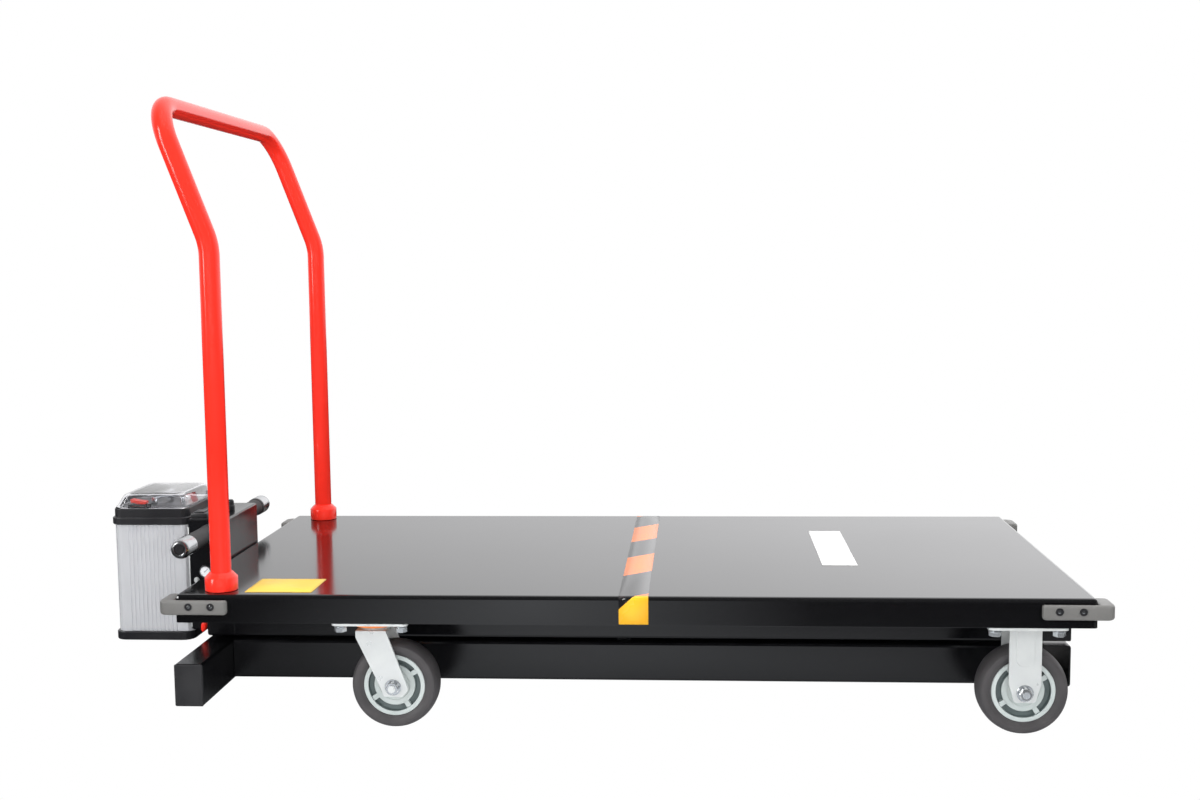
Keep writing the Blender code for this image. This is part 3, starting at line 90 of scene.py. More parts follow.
def lathe(shape, profile, at, axis="z", steps=48, slot=0):
    """Turns (radius, height) points about an axis; points on the axis close the ends."""
    spin = AXES[axis]
    rings = []
    for radius, height in profile:
        count = steps if radius else 1
        ring = []
        for step in range(count):
            angle = 2 * math.pi * step / steps
            point = Vector((radius * math.cos(angle), radius * math.sin(angle), height))
            ring.append(shape.verts.new(Vector(at) + spin @ point))
        rings.append(ring)
    pairs = list(zip(rings, rings[1:]))
    if len(rings[0]) > 1 and len(rings[-1]) > 1:
        pairs.append((rings[-1], rings[0]))
    faces = []
    for above, below in pairs:
        for step in range(steps):
            after = (step + 1) % steps
            loop = []
            for ring, index in ((above, step), (below, step), (below, after), (above, after)):
                vert = ring[index % len(ring)]
                if vert not in loop:
                    loop.append(vert)
            if len(loop) > 2:
                faces.append(shape.faces.new(loop))
    paint(faces, slot)
    return faces


print("turns about", ", ".join(AXES))

# %% [markdown]
# ## Bent tube and rounded paths
# The push handle is one bent tube. Its path is a list of corner points, each with the radius of
# its bend. The same rounding draws the outlines of flat plates.

# %% Tube bender


def bend(shape, path, radius, steps=32, slot=0):
    """Round tube along a path, with flat ends."""
    rings = []
    side = None
    for index, point in enumerate(path):
        back = path[max(index - 1, 0)]
        ahead = path[min(index + 1, len(path) - 1)]
        along = (ahead - back).normalized()
        if side is None:
            side = along.orthogonal().normalized()
        side = (side - along * side.dot(along)).normalized()
        other = along.cross(side)
        ring = []
        for step in range(steps):
            angle = 2 * math.pi * step / steps
            reach = side * math.cos(angle) + other * math.sin(angle)
            ring.append(shape.verts.new(point + reach * radius))
        rings.append(ring)
    faces = []
    for first, second in zip(rings, rings[1:]):
        for step in range(steps):
            after = (step + 1) % steps
            faces.append(shape.faces.new((first[step], first[after], second[after], second[step])))
    faces.append(shape.faces.new(rings[0][::-1]))
    faces.append(shape.faces.new(rings[-1]))
    paint(faces, slot)


def rounded(points, closed=True, steps=8):
    """Path through (point, radius) corners, each rounded by an arc."""
    path = []
    count = len(points)
    for index, (point, radius) in enumerate(points):
        here = Vector(point)
        if radius == 0.0 or (not closed and index in (0, count - 1)):
            path.append(here)
            continue
        back = (Vector(points[index - 1][0]) - here).normalized()
        ahead = (Vector(points[(index + 1) % count][0]) - here).normalized()
        half = back.angle(ahead) / 2
        hub = here + (back + ahead).normalized() * (radius / math.sin(half))
        reach = radius / math.tan(half)
        first = here + back * reach - hub
        last = here + ahead * reach - hub
        sweep = first.angle(last)
        for step in range(steps + 1):
            part = step / steps
            mix = first * math.sin((1 - part) * sweep) + last * math.sin(part * sweep)
            path.append(hub + mix / math.sin(sweep))
    return path


def rectangle(width, height, radius):
    """Rounded rectangle about the origin."""
    w, h = width / 2, height / 2
    points = [(w, h), (-w, h), (-w, -h), (w, -h)]
    return rounded([((x, y, 0), radius) for x, y in points], True, 6)


print("a rounded square has", len(rectangle(1, 1, 0.1)), "points")

# %% [markdown]
# ## Plates and blocks
# Sheet, labels and bumpers are plates cut to an outline, and the latch is made of blocks. No real
# edge is sharp, so each rim is eased by a small round.

# %% Plate and block
SAME_LEVEL = 1e-7


def pour(shape, own, at, slot):
    """Adds one shape to another at a place."""
    bmesh.ops.transform(own, matrix=Matrix.Translation(Vector(at)), verts=own.verts)
    paint(own.faces, slot)
    copy = bpy.data.meshes.new("poured")
    own.to_mesh(copy)
    own.free()
    shape.from_mesh(copy)
    bpy.data.meshes.remove(copy)


def plate(shape, outline, low, high, at=(0, 0, 0), edge=0.0002, segments=2, slot=0):
    """Plate of a flat outline, from low to high, with its rims eased."""
    own = bmesh.new()
    bottom = own.faces.new([own.verts.new(Vector((p[0], p[1], low))) for p in outline])
    grown = bmesh.ops.extrude_face_region(own, geom=[bottom])
    lifted = [item for item in grown["geom"] if isinstance(item, bmesh.types.BMVert)]
    bmesh.ops.translate(own, vec=(0, 0, high - low), verts=lifted)
    bmesh.ops.recalc_face_normals(own, faces=own.faces)
    rims = [e for e in own.edges if abs(e.verts[0].co.z - e.verts[1].co.z) < SAME_LEVEL]
    bmesh.ops.bevel(own, geom=rims, offset=edge, segments=segments, affect="EDGES", profile=0.5)
    pour(shape, own, at, slot)


def block(shape, low, high, edge):
    """Block between two corners, with eased edges."""
    low, high = Vector(low), Vector(high)
    own = bmesh.new()
    bmesh.ops.create_cube(own, size=1.0)
    bmesh.ops.scale(own, vec=high - low, verts=own.verts)
    bmesh.ops.bevel(own, geom=own.edges[:], offset=edge, segments=2, affect="EDGES", profile=0.5)
    pour(shape, own, (low + high) / 2, 0)


print("rims count as level within", SAME_LEVEL, "m")

# %% [markdown]
# ## From shape to piece
# A finished shape gets its finishes and rides on a body of the model, so that it moves with it.
# Where it shows a piece of the model in more detail, it stands for that piece.

# %% Piece maker
SHARP_FROM = 34.0


def make(name, shape, looks, body, stands_for=(), angle=SHARP_FROM):
    """Turns a shape into a piece that rides on a body of the model."""
    bmesh.ops.recalc_face_normals(shape, faces=shape.faces)
    mesh = bpy.data.meshes.new(name)
    shape.to_mesh(mesh)
    shape.free()
    for look in looks:
        mesh.materials.append(look)
    mesh.shade_smooth()
    mesh.set_sharp_from_angle(angle=math.radians(angle))
    thing = bpy.data.objects.new(name, mesh)
    bpy.context.scene.collection.objects.link(thing)
    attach(thing, body)
    if stands_for:
        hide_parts(*stands_for)
    return thing


print("edges stay sharp from", SHARP_FROM, "degrees")

# %% [markdown]
# ## Finishes
# Every finish has three things that real surfaces have: a colour that drifts a little over a few
# centimetres, a gloss that drifts with it, and a fine texture in relief. A powder coat has orange
# peel, zinc has a soft cloudy sheen, rubber has a dry bloom.

# %% Finish maker
CLOUD_DETAIL = 6.0
GRAIN_DETAIL = 3.0
COLOUR_FROM, COLOUR_TO = 0.32, 0.70
GLOSS_FROM, GLOSS_TO = 0.3, 0.7
RELIEF_DEPTH = 0.0004
finishes = []


def add_node(tree, kind, **values):
    """Adds a node of a kind; each value goes to the input of its name."""
    added = tree.nodes.new("ShaderNode" + kind)
    for name, value in values.items():
        added.inputs[name.replace("_", " ").title()].default_value = value
    return added


def finish(name, colour, other, gloss, drift=18.0, grain=900.0, relief=0.05, metal=0.0, clear=0.0,
           stretch=(1.0, 1.0, 1.0), shine=0.5):
    """Finish that drifts between two colours and, with gloss, between two roughnesses."""
    look = bpy.data.materials.new(name)
    look.use_nodes = True
    tree = look.node_tree
    link = tree.links.new
    shader = tree.nodes["Principled BSDF"]
    place = add_node(tree, "TexCoord")
    mapping = add_node(tree, "Mapping", scale=stretch)
    link(place.outputs["Object"], mapping.inputs["Vector"])
    cloud = add_node(tree, "TexNoise", scale=drift, detail=CLOUD_DETAIL)
    link(mapping.outputs["Vector"], cloud.inputs["Vector"])
    tint = add_node(tree, "ValToRGB")
    for stop, at, shade in zip(tint.color_ramp.elements, (COLOUR_FROM, COLOUR_TO), (colour, other)):
        stop.position = at
        stop.color = (*shade, 1.0)
    link(cloud.outputs["Fac"], tint.inputs["Fac"])
    link(tint.outputs["Color"], shader.inputs["Base Color"])
    polish = add_node(tree, "MapRange", from_min=GLOSS_FROM, from_max=GLOSS_TO,
                      to_min=gloss[0], to_max=gloss[1])
    link(cloud.outputs["Fac"], polish.inputs["Value"])
    link(polish.outputs["Result"], shader.inputs["Roughness"])
    fine = add_node(tree, "TexNoise", scale=grain, detail=GRAIN_DETAIL)
    link(mapping.outputs["Vector"], fine.inputs["Vector"])
    bump = add_node(tree, "Bump", strength=relief, distance=RELIEF_DEPTH)
    link(fine.outputs["Fac"], bump.inputs["Height"])
    link(bump.outputs["Normal"], shader.inputs["Normal"])
    shader.inputs["Metallic"].default_value = metal
    shader.inputs["Specular IOR Level"].default_value = shine
    shader.inputs["Transmission Weight"].default_value = clear
    finishes.append(name)
    return look


# %% [markdown]
# ### Coats and metals
# The steel is powder coated: gloss black underneath, a smoother black on the deck, red on the
# handle. The casters are zinc plated, their fasteners brighter, and the ball races painted orange.
# The battery case is aluminium.

# %% Coats and metals
black_coat = finish("black_powder_coat", (0.0032, 0.0032, 0.0040), (0.0058, 0.0058, 0.0068),
                    (0.17, 0.25), relief=0.02)
deck_coat = finish("deck_powder_coat", (0.0028, 0.0028, 0.0033), (0.0042, 0.0042, 0.0048),
                   (0.10, 0.15), drift=3.0, relief=0.006, shine=0.7)
red_coat = finish("red_powder_coat", (0.80, 0.026, 0.014), (0.86, 0.030, 0.017),
                  (0.13, 0.18), drift=6.0, relief=0.008, shine=0.4)
zinc = finish("zinc_plate", (0.64, 0.66, 0.66), (0.70, 0.72, 0.71),
              (0.26, 0.36), drift=30, metal=0.35, grain=2500, relief=0.01)
bright_zinc = finish("bright_zinc", (0.60, 0.63, 0.66), (0.66, 0.69, 0.71),
                     (0.20, 0.26), drift=30, metal=0.8, relief=0.005)
race_paint = finish("race_orange", (0.85, 0.22, 0.03), (0.92, 0.28, 0.05), (0.35, 0.45), relief=0.05)
steel = finish("machined_steel", (0.36, 0.37, 0.38), (0.46, 0.46, 0.47),
               (0.28, 0.42), metal=1.0, relief=0.02)
gunmetal = finish("gunmetal", (0.40, 0.41, 0.42), (0.52, 0.53, 0.54),
                  (0.20, 0.32), metal=1.0, relief=0.05)
aluminium = finish("anodised_aluminium", (0.74, 0.75, 0.78), (0.83, 0.84, 0.87),
                   (0.30, 0.42), metal=0.5, stretch=(1.0, 1.0, 0.02), grain=1800, relief=0.04)
case_metal = finish("case_aluminium", (0.78, 0.79, 0.82), (0.82, 0.83, 0.86),
                    (0.22, 0.28), drift=2.0, metal=0.48, relief=0.0)
print(len(finishes), "coats and metals")

# %% [markdown]
# ### Rubber, plastics and labels
# The tyres are grey rubber on grey moulded hubs. The caps, grips and plugs are black mouldings,
# the bumpers grey ones, and the lid is clear. The labels have a dull film.

# %% Rubber, plastics and labels
tyre_rubber = finish("tyre_rubber", (0.050, 0.047, 0.049), (0.068, 0.063, 0.065),
                     (0.50, 0.68), drift=30, grain=1600, relief=0.12)
hub_plastic = finish("hub_grey", (0.44, 0.49, 0.48), (0.50, 0.54, 0.53), (0.40, 0.52), relief=0.05)
hub_dark = finish("hub_shadow_grey", (0.10, 0.13, 0.13), (0.14, 0.17, 0.17), (0.50, 0.62), relief=0.05)
bumper_plastic = finish("bumper_grey", (0.130, 0.128, 0.122), (0.155, 0.152, 0.146),
                        (0.34, 0.44), grain=1400, relief=0.03)
black_plastic = finish("black_moulding", (0.012, 0.012, 0.014), (0.020, 0.020, 0.022),
                       (0.28, 0.42), grain=1500, relief=0.08)
cap_plastic = finish("cap_matt_black", (0.016, 0.016, 0.018), (0.026, 0.026, 0.028),
                     (0.48, 0.60), grain=1500, relief=0.15)
knurl = finish("knurled_rubber", (0.020, 0.020, 0.021), (0.034, 0.034, 0.035), (0.55, 0.70), relief=0.1)
clear_plastic = finish("clear_lid_plastic", (0.90, 0.90, 0.93), (0.97, 0.97, 0.99),
                       (0.02, 0.05), clear=1.0, relief=0.0)
switch_red = finish("switch_red", (0.70, 0.025, 0.012), (0.80, 0.040, 0.018), (0.25, 0.35), relief=0.04)
red_cell = finish("pack_wrap_red", (0.55, 0.03, 0.02), (0.64, 0.04, 0.03), (0.35, 0.5), relief=0.05)
dial_white = finish("dial_white", (0.80, 0.81, 0.84), (0.86, 0.87, 0.90), (0.30, 0.40), relief=0.02)
dial_ink = finish("dial_ink", (0.02, 0.02, 0.05), (0.05, 0.05, 0.09), (0.40, 0.50), relief=0.02)
label_white = finish("label_white", (0.78, 0.78, 0.76), (0.84, 0.84, 0.83), (0.35, 0.48), relief=0.03)
label_yellow = finish("label_yellow", (0.84, 0.55, 0.045), (0.88, 0.60, 0.060), (0.35, 0.48), relief=0.03)
label_edge = finish("label_edge", (0.62, 0.40, 0.04), (0.68, 0.44, 0.05), (0.38, 0.50), relief=0.03)
tape_look = finish("hazard_tape", (0.88, 0.43, 0.012), (0.92, 0.48, 0.020),
                   (0.22, 0.32), drift=9.0, relief=0.01)
# Top copy of the tape colour, painted light: a redder orange than the sides, for the look the light gives the
# tape on top of the deck.
tape_top_painted_light = finish("hazard_tape_top_painted_light", (0.86, 0.20, 0.025), (0.90, 0.24, 0.035),
                   (0.20, 0.28), drift=9.0, relief=0.01)
film_look = finish("tape_film", (0.006, 0.006, 0.007), (0.008, 0.008, 0.009),
                   (0.15, 0.20), drift=3.0, relief=0.006, shine=0.7)
print(len(finishes), "finishes in all")

# %% [markdown]
# ## Folded and welded steel
# The deck pan, the rails, the frames and the housings keep the model's shape. No sheet edge is
# knife sharp, so each gets a small eased edge, which also catches the light.

# %% Dress the pieces that keep their shape
WELD_WITHIN = 0.00002
EDGES_FROM = 35.0


def dress(name, look, ease=0.0008):
    """Finish and eased edges for a piece of the model that keeps its shape."""
    thing = nodes[name]
    thing.data.materials.clear()
    thing.data.materials.append(look)
    if ease:
        weld = thing.modifiers.new("weld", "WELD")
        weld.merge_threshold = WELD_WITHIN
        soften = thing.modifiers.new("ease", "BEVEL")
        soften.width = ease
        soften.segments = 2
        soften.limit_method = "ANGLE"
        soften.angle_limit = math.radians(EDGES_FROM)
        soften.harden_normals = True


WELDMENTS = ("base_rail_left", "base_rail_right", "base_rear_beam", "base_front_beam",
             "upper_rail_left", "upper_rail_right", "upper_rear_beam", "deck_frame", "control_box",
             "actuator_mount", "outer_arm_left", "outer_arm_right", "inner_arm_left", "inner_arm_right")
MACHINED = ("base_pivot_shaft", "deck_pivot_shaft", "centre_shaft", "upper_roller_shaft",
            "lower_roller_shaft", "upper_roller_left", "upper_roller_right", "lower_roller_left",
            "lower_roller_right", "actuator_rod", "actuator_motor")
for name in WELDMENTS:
    dress(name, black_coat)
for name in MACHINED:
    dress(name, steel, 0.0004)
for side in ("left", "right"):
    dress("swivel_fork_" + side, zinc, 0.0006)
    dress("rigid_fork_" + side, zinc, 0.0006)
    dress("beam_cap_" + side, cap_plastic, 0.0006)
for end_name in ("top", "bottom"):
    dress("case_%s_cap" % end_name, black_plastic, 0.0006)
dress("deck_pan", deck_coat, 0.0006)
dress("actuator_barrel", aluminium, 0.0004)
dress("battery_case", case_metal, 0.0)
dress("battery_pack", red_cell, 0.001)
dress("release_lever", red_coat, 0.0004)
dress("switch_rocker", switch_red, 0.0003)
dress("cable_gland", black_plastic, 0.0003)
print(len(WELDMENTS), "welded pieces and", len(MACHINED), "machined ones dressed")

# %% [markdown]
# ## Push handle
# One tube bent four times: two bends where the legs lean back, two at the top corners. The feet
# sit in turned collars, welded and painted with the tube.

# %% Bend the handle
TUBE = 0.0164
FOOT_FROM_REAR, FOOT_FROM_SIDE, FOOT_INSIDE_COLLAR = 0.065, 0.037, 0.012
BEND_HEIGHT, TOP_HEIGHT = 0.558, 0.781
LEAN = math.radians(20.4)
LEAN_BEND, TOP_BEND = 0.110, 0.070
COLLAR = [(0, 0.0302), (0.0180, 0.0300), (0.0192, 0.0290), (0.0255, 0.0225), (0.0263, 0.0212),
          (0.0263, 0.0008), (0.0255, 0.0004), (0, 0.0004)]
leg_x = deck_low.x + FOOT_FROM_REAR
leg_y = deck_high.y - FOOT_FROM_SIDE
bend_z = deck_top + BEND_HEIGHT
top_z = deck_top + TOP_HEIGHT
top_x = leg_x - (top_z - bend_z) * math.tan(LEAN)
route = []
for sign in (1, -1):
    leg = [
        ((leg_x, sign * leg_y, deck_top + FOOT_INSIDE_COLLAR), 0.0),
        ((leg_x, sign * leg_y, bend_z), LEAN_BEND),
        ((top_x, sign * leg_y, top_z), TOP_BEND),
    ]
    route += leg if sign > 0 else leg[::-1]
shape = bmesh.new()
bend(shape, rounded(route, False, 14), TUBE, 40)
for sign in (1, -1):
    lathe(shape, COLLAR, (leg_x, sign * leg_y, deck_top), "z", 64)
make("push_handle_tube", shape, [red_coat], "deck", ["push_handle"])
print("handle top at", round(top_z + TUBE, 3))

# %% [markdown]
# ## Tyres and hubs
# A grey rubber tyre is bonded on a moulded hub. The tyre's flank has a step near the hub and a
# soft shoulder. The hub's face has a rim, a deep groove bridged by four short spokes, and a broad
# disc round the axle. Both are drawn from the outside to the middle plane and mirrored.

# %% Wheel profiles
TYRE = [(0.0502, 0.0190), (0.0518, 0.0206), (0.0530, 0.0209), (0.0545, 0.0222), (0.0580, 0.0239),
        (0.0620, 0.0244), (0.0655, 0.0234), (0.0681, 0.0200), (0.0697, 0.0150), (0.0708, 0.0085),
        (0.0711, 0.0)]
HUB = [(0.0499, 0.0188), (0.0492, 0.0197), (0.0436, 0.0197), (0.0428, 0.0190), (0.0420, 0.0110),
       (0.0345, 0.0105), (0.0336, 0.0160), (0.0325, 0.0172), (0.0250, 0.0172), (0.0246, 0.0163),
       (0.0190, 0.0163), (0.0186, 0.0172), (0.0180, 0.0195), (0.0070, 0.0200)]
GROOVE_INSIDE, GROOVE_OUTSIDE = 0.0338, 0.0427
SPOKES, FIRST_SPOKE = 4, 33
SPOKE_ENDS = ((0.0320, 0.0036), (0.0434, 0.0042))
SPOKE_BACK, SPOKE_FACE = 0.0100, 0.0172


def both_sides(profile):
    """Profile mirrored to the other side of the wheel."""
    return profile + [(r, -h) for r, h in reversed(profile) if h > 0]


print("tyre", round(2000 * TYRE[-1][0]), "mm across, hub", round(2000 * HUB[0][0]), "mm")

# %% [markdown]
# The groove is darker than the hub's face, because little light reaches its bottom. Each spoke
# widens a little outward.

# %% Turn the wheels


def make_wheel(name):
    """Tyre and hub of one caster, which roll together."""
    hub_point = centre("tyre_" + name)
    body = name.replace("_", "_wheel_")
    shape = bmesh.new()
    lathe(shape, both_sides(TYRE), hub_point, "y", 96)
    make("tyre_" + name, shape, [tyre_rubber], body, ["tyre_" + name])
    shape = bmesh.new()
    for face in lathe(shape, both_sides(HUB), hub_point, "y", 96):
        reach = face.calc_center_median() - hub_point
        if GROOVE_INSIDE < math.hypot(reach.x, reach.z) < GROOVE_OUTSIDE:
            face.material_index = 1
    for number in range(SPOKES):
        angle = math.radians(FIRST_SPOKE + 360 / SPOKES * number)
        out = Vector((math.cos(angle), 0, math.sin(angle)))
        across = Vector((-out.z, 0, out.x))
        for sign in (1, -1):
            ends = []
            for reach, half in SPOKE_ENDS:
                for side in (1, -1):
                    for depth in (SPOKE_BACK, SPOKE_FACE):
                        point = hub_point + out * reach + across * side * half
                        ends.append(shape.verts.new(point + Vector((0, sign * depth, 0))))
            bmesh.ops.convex_hull(shape, input=ends)
    make("hub_" + name, shape, [hub_plastic, hub_dark], body, ["hub_" + name])


for side in ("left", "right"):
    make_wheel("swivel_" + side)
    make_wheel("rigid_" + side)
print("wheels stand at", [round(centre("tyre_%s_left" % kind).x, 3) for kind in ("swivel", "rigid")])

# %% [markdown]
# ## Bolts
# The plate bolts and the valve screw are of one kind: a hexagon head on a thin flange. The head's
# outer corners are cut.

# %% Flanged bolt
FLANGE_THICK, CHAMFER = 0.0016, 0.0008
FLANGE_TOP, HEAD_TOP = 0.93, 0.86


def hex_bolt(shape, at, axis, head, tall, flange):
    """Hexagon head on a round flange."""
    rim = [(0, FLANGE_THICK), (flange * FLANGE_TOP, FLANGE_THICK), (flange, CHAMFER), (flange, 0.0), (0, 0.0)]
    lathe(shape, rim, at, axis, 32)
    hexagon = [(0, tall), (head * HEAD_TOP, tall), (head, tall - CHAMFER), (head, CHAMFER), (0, CHAMFER)]
    lathe(shape, hexagon, at, axis, 6)


print("flange", 1000 * FLANGE_THICK, "mm thick")

# %% [markdown]
# ## Caster plates and races
# Each caster hangs from a pressed plate on four bolts, each with a spacer under its flange. Under
# a swivel plate sits the ball race, painted orange, and under that the turning fork.

# %% Plates, races and bolts
PLATE_THICK, PLATE_CORNER, PLATE_EDGE = 0.004, 0.008, 0.0008
BOLT_X, BOLT_Y = 0.049, 0.038
BOLT_HEAD, BOLT_TALL, BOLT_FLANGE = 0.0098, 0.0084, 0.0104
SPACER = [(0, 0.0040), (0.0072, 0.0040), (0.0072, 0.0), (0, 0.0)]
FLANGE_SEAT = 0.0036
RACE = [(0.0355, 0.0004), (0.0380, 0.0002), (0.0380, -0.0052), (0.0370, -0.0066), (0.0335, -0.0078),
        (0.0290, -0.0085), (0.0140, -0.0085), (0.0140, 0.0004)]
for side in ("left", "right"):
    low, high = corners("swivel_plate_" + side)
    mid = (low + high) / 2
    plate_low = high.z - PLATE_THICK
    outline = rectangle(high.x - low.x, high.y - low.y, PLATE_CORNER)
    shape = bmesh.new()
    plate(shape, outline, plate_low, high.z, (mid.x, mid.y, 0), PLATE_EDGE)
    lathe(shape, RACE, (mid.x, mid.y, plate_low), "z", 64, slot=1)
    make("swivel_plate_" + side + "_pressing", shape, [zinc, race_paint], "deck", ["swivel_plate_" + side])
    for name, x in (("swivel_", mid.x), ("rigid_", centre("tyre_rigid_" + side).x)):
        shape = bmesh.new()
        for bolt_x in (x + BOLT_X, x - BOLT_X):
            for bolt_y in (mid.y + BOLT_Y, mid.y - BOLT_Y):
                lathe(shape, SPACER, (bolt_x, bolt_y, plate_low), "-z", 32)
                seat = (bolt_x, bolt_y, plate_low - FLANGE_SEAT)
                hex_bolt(shape, seat, "-z", BOLT_HEAD, BOLT_TALL, BOLT_FLANGE)
        make(name + "plate_bolts_" + side, shape, [bright_zinc], "deck")
print("plates at", round(plate_low, 4), "m, race", round(2000 * RACE[1][0]), "mm across")

# %% [markdown]
# ## Axle hardware
# Each axle ends in a hexagon on a washer. On the outer side of a fixed caster it is a nut with a
# nylon ring, and the bolt end shows through it.

# %% Axle nuts
FORK_FACE = 0.0311
HEAD_TALL, NUT_TALL = 0.0090, 0.0082
HEX_RADIUS, HEX_TOP, HEX_CHAMFER = 0.0109, 0.0094, 0.0010
WASHER_THICK = 0.0016
WASHER = [(0, WASHER_THICK), (0.0126, WASHER_THICK), (0.0132, 0.0011), (0.0132, 0.0), (0, 0.0)]
NYLON_RING = [(0.0062, 0.0108), (0.0076, 0.0108), (0.0084, 0.0100), (0.0084, 0.0080), (0.0062, 0.0080)]
BOLT_END = [(0, 0.0124), (0.0050, 0.0124), (0.0060, 0.0117), (0.0060, 0.0080), (0, 0.0080)]
for side, out in (("left", 1), ("right", -1)):
    for kind, body in (("rigid", "deck"), ("swivel", "swivel_" + side)):
        hub_point = centre("tyre_%s_%s" % (kind, side))
        shape = bmesh.new()
        for sign in (1, -1):
            axis = "y" if sign > 0 else "-y"
            at = (hub_point.x, hub_point.y + sign * FORK_FACE, hub_point.z)
            is_nut = kind == "rigid" and sign == out
            tall = NUT_TALL if is_nut else HEAD_TALL
            hexagon = [(0, tall), (HEX_TOP, tall), (HEX_RADIUS, tall - HEX_CHAMFER),
                       (HEX_RADIUS, WASHER_THICK), (0, WASHER_THICK)]
            lathe(shape, WASHER, at, axis, 48)
            lathe(shape, hexagon, at, axis, 6)
            if is_nut:
                lathe(shape, NYLON_RING, at, axis, 40, slot=1)
                lathe(shape, BOLT_END, at, axis, 32)
        make("%s_axle_nuts_%s" % (kind, side), shape, [bright_zinc, gunmetal], body)
print("axle ends", round(2000 * FORK_FACE), "mm apart")

# %% [markdown]
# ## Corner bumpers
# A moulded grey bumper wraps each corner: a straight arm along the side with two sunk bolts, and a
# thicker nose round the end. Its outline is drawn from the deck's corner, outward and sideways.

# %% Corner bumpers
BUMPER = [((-0.0856, 0.0004, 0), 0.0), ((0.0004, 0.0004, 0), 0.0), ((0.0004, -0.045, 0), 0.0),
          ((0.0249, -0.045, 0), 0.009), ((0.0249, 0.0099, 0), 0.014), ((-0.004, 0.0099, 0), 0.008),
          ((-0.010, 0.0091, 0), 0.008), ((-0.0856, 0.0090, 0), 0.0065)]
BUMPER_EDGE = 0.0045
BUMPER_BOLTS = (0.025, 0.061)
BUMPER_FACE, BOLT_RISE = 0.0092, 0.002
RECESS_RIM = [(0.0062, 0.0008), (0.0066, 0.0006), (0.0068, -0.0010), (0.0062, -0.0010)]
RECESS_FLOOR = [(0, 0.0006), (0.0063, 0.0006), (0.0063, -0.001), (0, -0.001)]
SUNK_HEAD = [(0, 0.0008), (0.0024, 0.0008), (0.0028, 0.0006), (0.0028, -0.001), (0, -0.001)]
half_long = (deck_high.x - deck_low.x) / 2
half_wide = (deck_high.y - deck_low.y) / 2
for end_name, end in (("front", 1), ("rear", -1)):
    for side, sign in (("left", 1), ("right", -1)):
        node = "bumper_%s_%s" % (end_name, side)
        low, high = corners(node)
        corner = Vector((deck_x + end * half_long, sign * half_wide, 0))
        outline = [(corner.x + end * p.x, corner.y + sign * p.y, 0) for p in rounded(BUMPER)]
        shape = bmesh.new()
        plate(shape, outline, low.z, high.z, edge=BUMPER_EDGE, segments=4)
        axis = "y" if sign > 0 else "-y"
        for reach in BUMPER_BOLTS:
            at = (corner.x - end * reach, corner.y + sign * BUMPER_FACE, (low.z + high.z) / 2 + BOLT_RISE)
            lathe(shape, RECESS_RIM, at, axis, 32)
            lathe(shape, RECESS_FLOOR, at, axis, 32, slot=1)
            lathe(shape, SUNK_HEAD, at, axis, 6, slot=2)
        make(node + "_moulding", shape, [bumper_plastic, black_plastic, gunmetal], "deck", [node])
print("bumpers", round(1000 * (high.z - low.z)), "mm tall")

# %% [markdown]
# ## Hazard tape
# A band of tape crosses the deck and folds down over both sides. It is laid out flat first: a
# measure along the tape is counted from the deck's middle line, and rolled round this section.

# %% Section under the tape
TAPE_REAR, TAPE_FRONT = deck_x - 0.0125, deck_x + 0.034
TAPE_LIFT, FOLD, FOOT = 0.00025, 0.006, 0.002
FOLD_STEPS = 8
section = [Vector((deck_high.y + TAPE_LIFT, deck_low.z + FOOT))]
for step in range(FOLD_STEPS + 1):
    angle = math.radians(90 * step / FOLD_STEPS)
    section.append(Vector((deck_high.y - FOLD + (FOLD + TAPE_LIFT) * math.cos(angle),
                           deck_top - FOLD + (FOLD + TAPE_LIFT) * math.sin(angle))))
section += [Vector((-p.x, p.y)) for p in reversed(section)]
lengths = [0.0]
for a, b in zip(section, section[1:]):
    lengths.append(lengths[-1] + (b - a).length)
middle = lengths[-1] / 2


def on_section(along):
    """Point of the section at a distance along the tape."""
    reach = min(max(middle - along, 0.0), lengths[-1])
    for number, (start, stop) in enumerate(zip(lengths, lengths[1:])):
        if reach <= stop:
            share = (reach - start) / (stop - start)
            return section[number].lerp(section[number + 1], share)
    return section[-1]


print("tape", round(lengths[-1], 3), "m long")

# %% [markdown]
# The stripes slant across the band, so the flat tape is cut along slanted lines, and what lies between two of
# them is a stripe. The stripes are yellow down the deck's sides, with black film between them. On top of the
# deck the same tape gets a redder orange of its own. That colour is painted light, standing in for the paler
# orange look that the light on the top gives the tape.

# %% Tape
STRIPES = ((-0.500, -0.373), (-0.2095, -0.0633), (0.0752, 0.2203), (0.338, 0.482))
SLANT = 0.042
SIDE_PART = 0.048
TAPE_THICK = 0.0002
shape = bmesh.new()
rows = [[shape.verts.new((x, middle - length, 0.0)) for x in (TAPE_REAR, TAPE_FRONT)] for length in lengths]
for lower, upper in zip(rows, rows[1:]):
    shape.faces.new((lower[0], lower[1], upper[1], upper[0]))
wide = TAPE_FRONT - TAPE_REAR
for stripe in STRIPES:
    for edge in stripe:
        everything = shape.verts[:] + shape.edges[:] + shape.faces[:]
        cut = (SLANT, -wide, 0)
        bmesh.ops.bisect_plane(shape, geom=everything, plane_co=(TAPE_REAR, edge, 0), plane_no=cut)
for face in shape.faces:
    at = face.calc_center_median()
    along = at.y - SLANT * (at.x - TAPE_REAR) / wide
    if not any(start < along < stop for start, stop in STRIPES):
        face.material_index = 2
    elif abs(at.y) < middle - SIDE_PART:
        # Stripes on top of the deck take the painted-light top colour.
        face.material_index = 1
for vert in shape.verts:
    spot = on_section(vert.co.y)
    vert.co = (vert.co.x, spot.x, spot.y)
tape = make("hazard_tape", shape, [tape_look, tape_top_painted_light, film_look], "deck")
thick = tape.modifiers.new("thickness", "SOLIDIFY")
thick.thickness = TAPE_THICK
thick.offset = 0.0
print(len(STRIPES), "stripes on a band", round(1000 * wide, 1), "mm wide")

# %% [markdown]
# ## Label plates
# Two bare plates lie on the deck: a long white one near the front and a yellow one by the near
# foot of the handle, which has a darker rim.

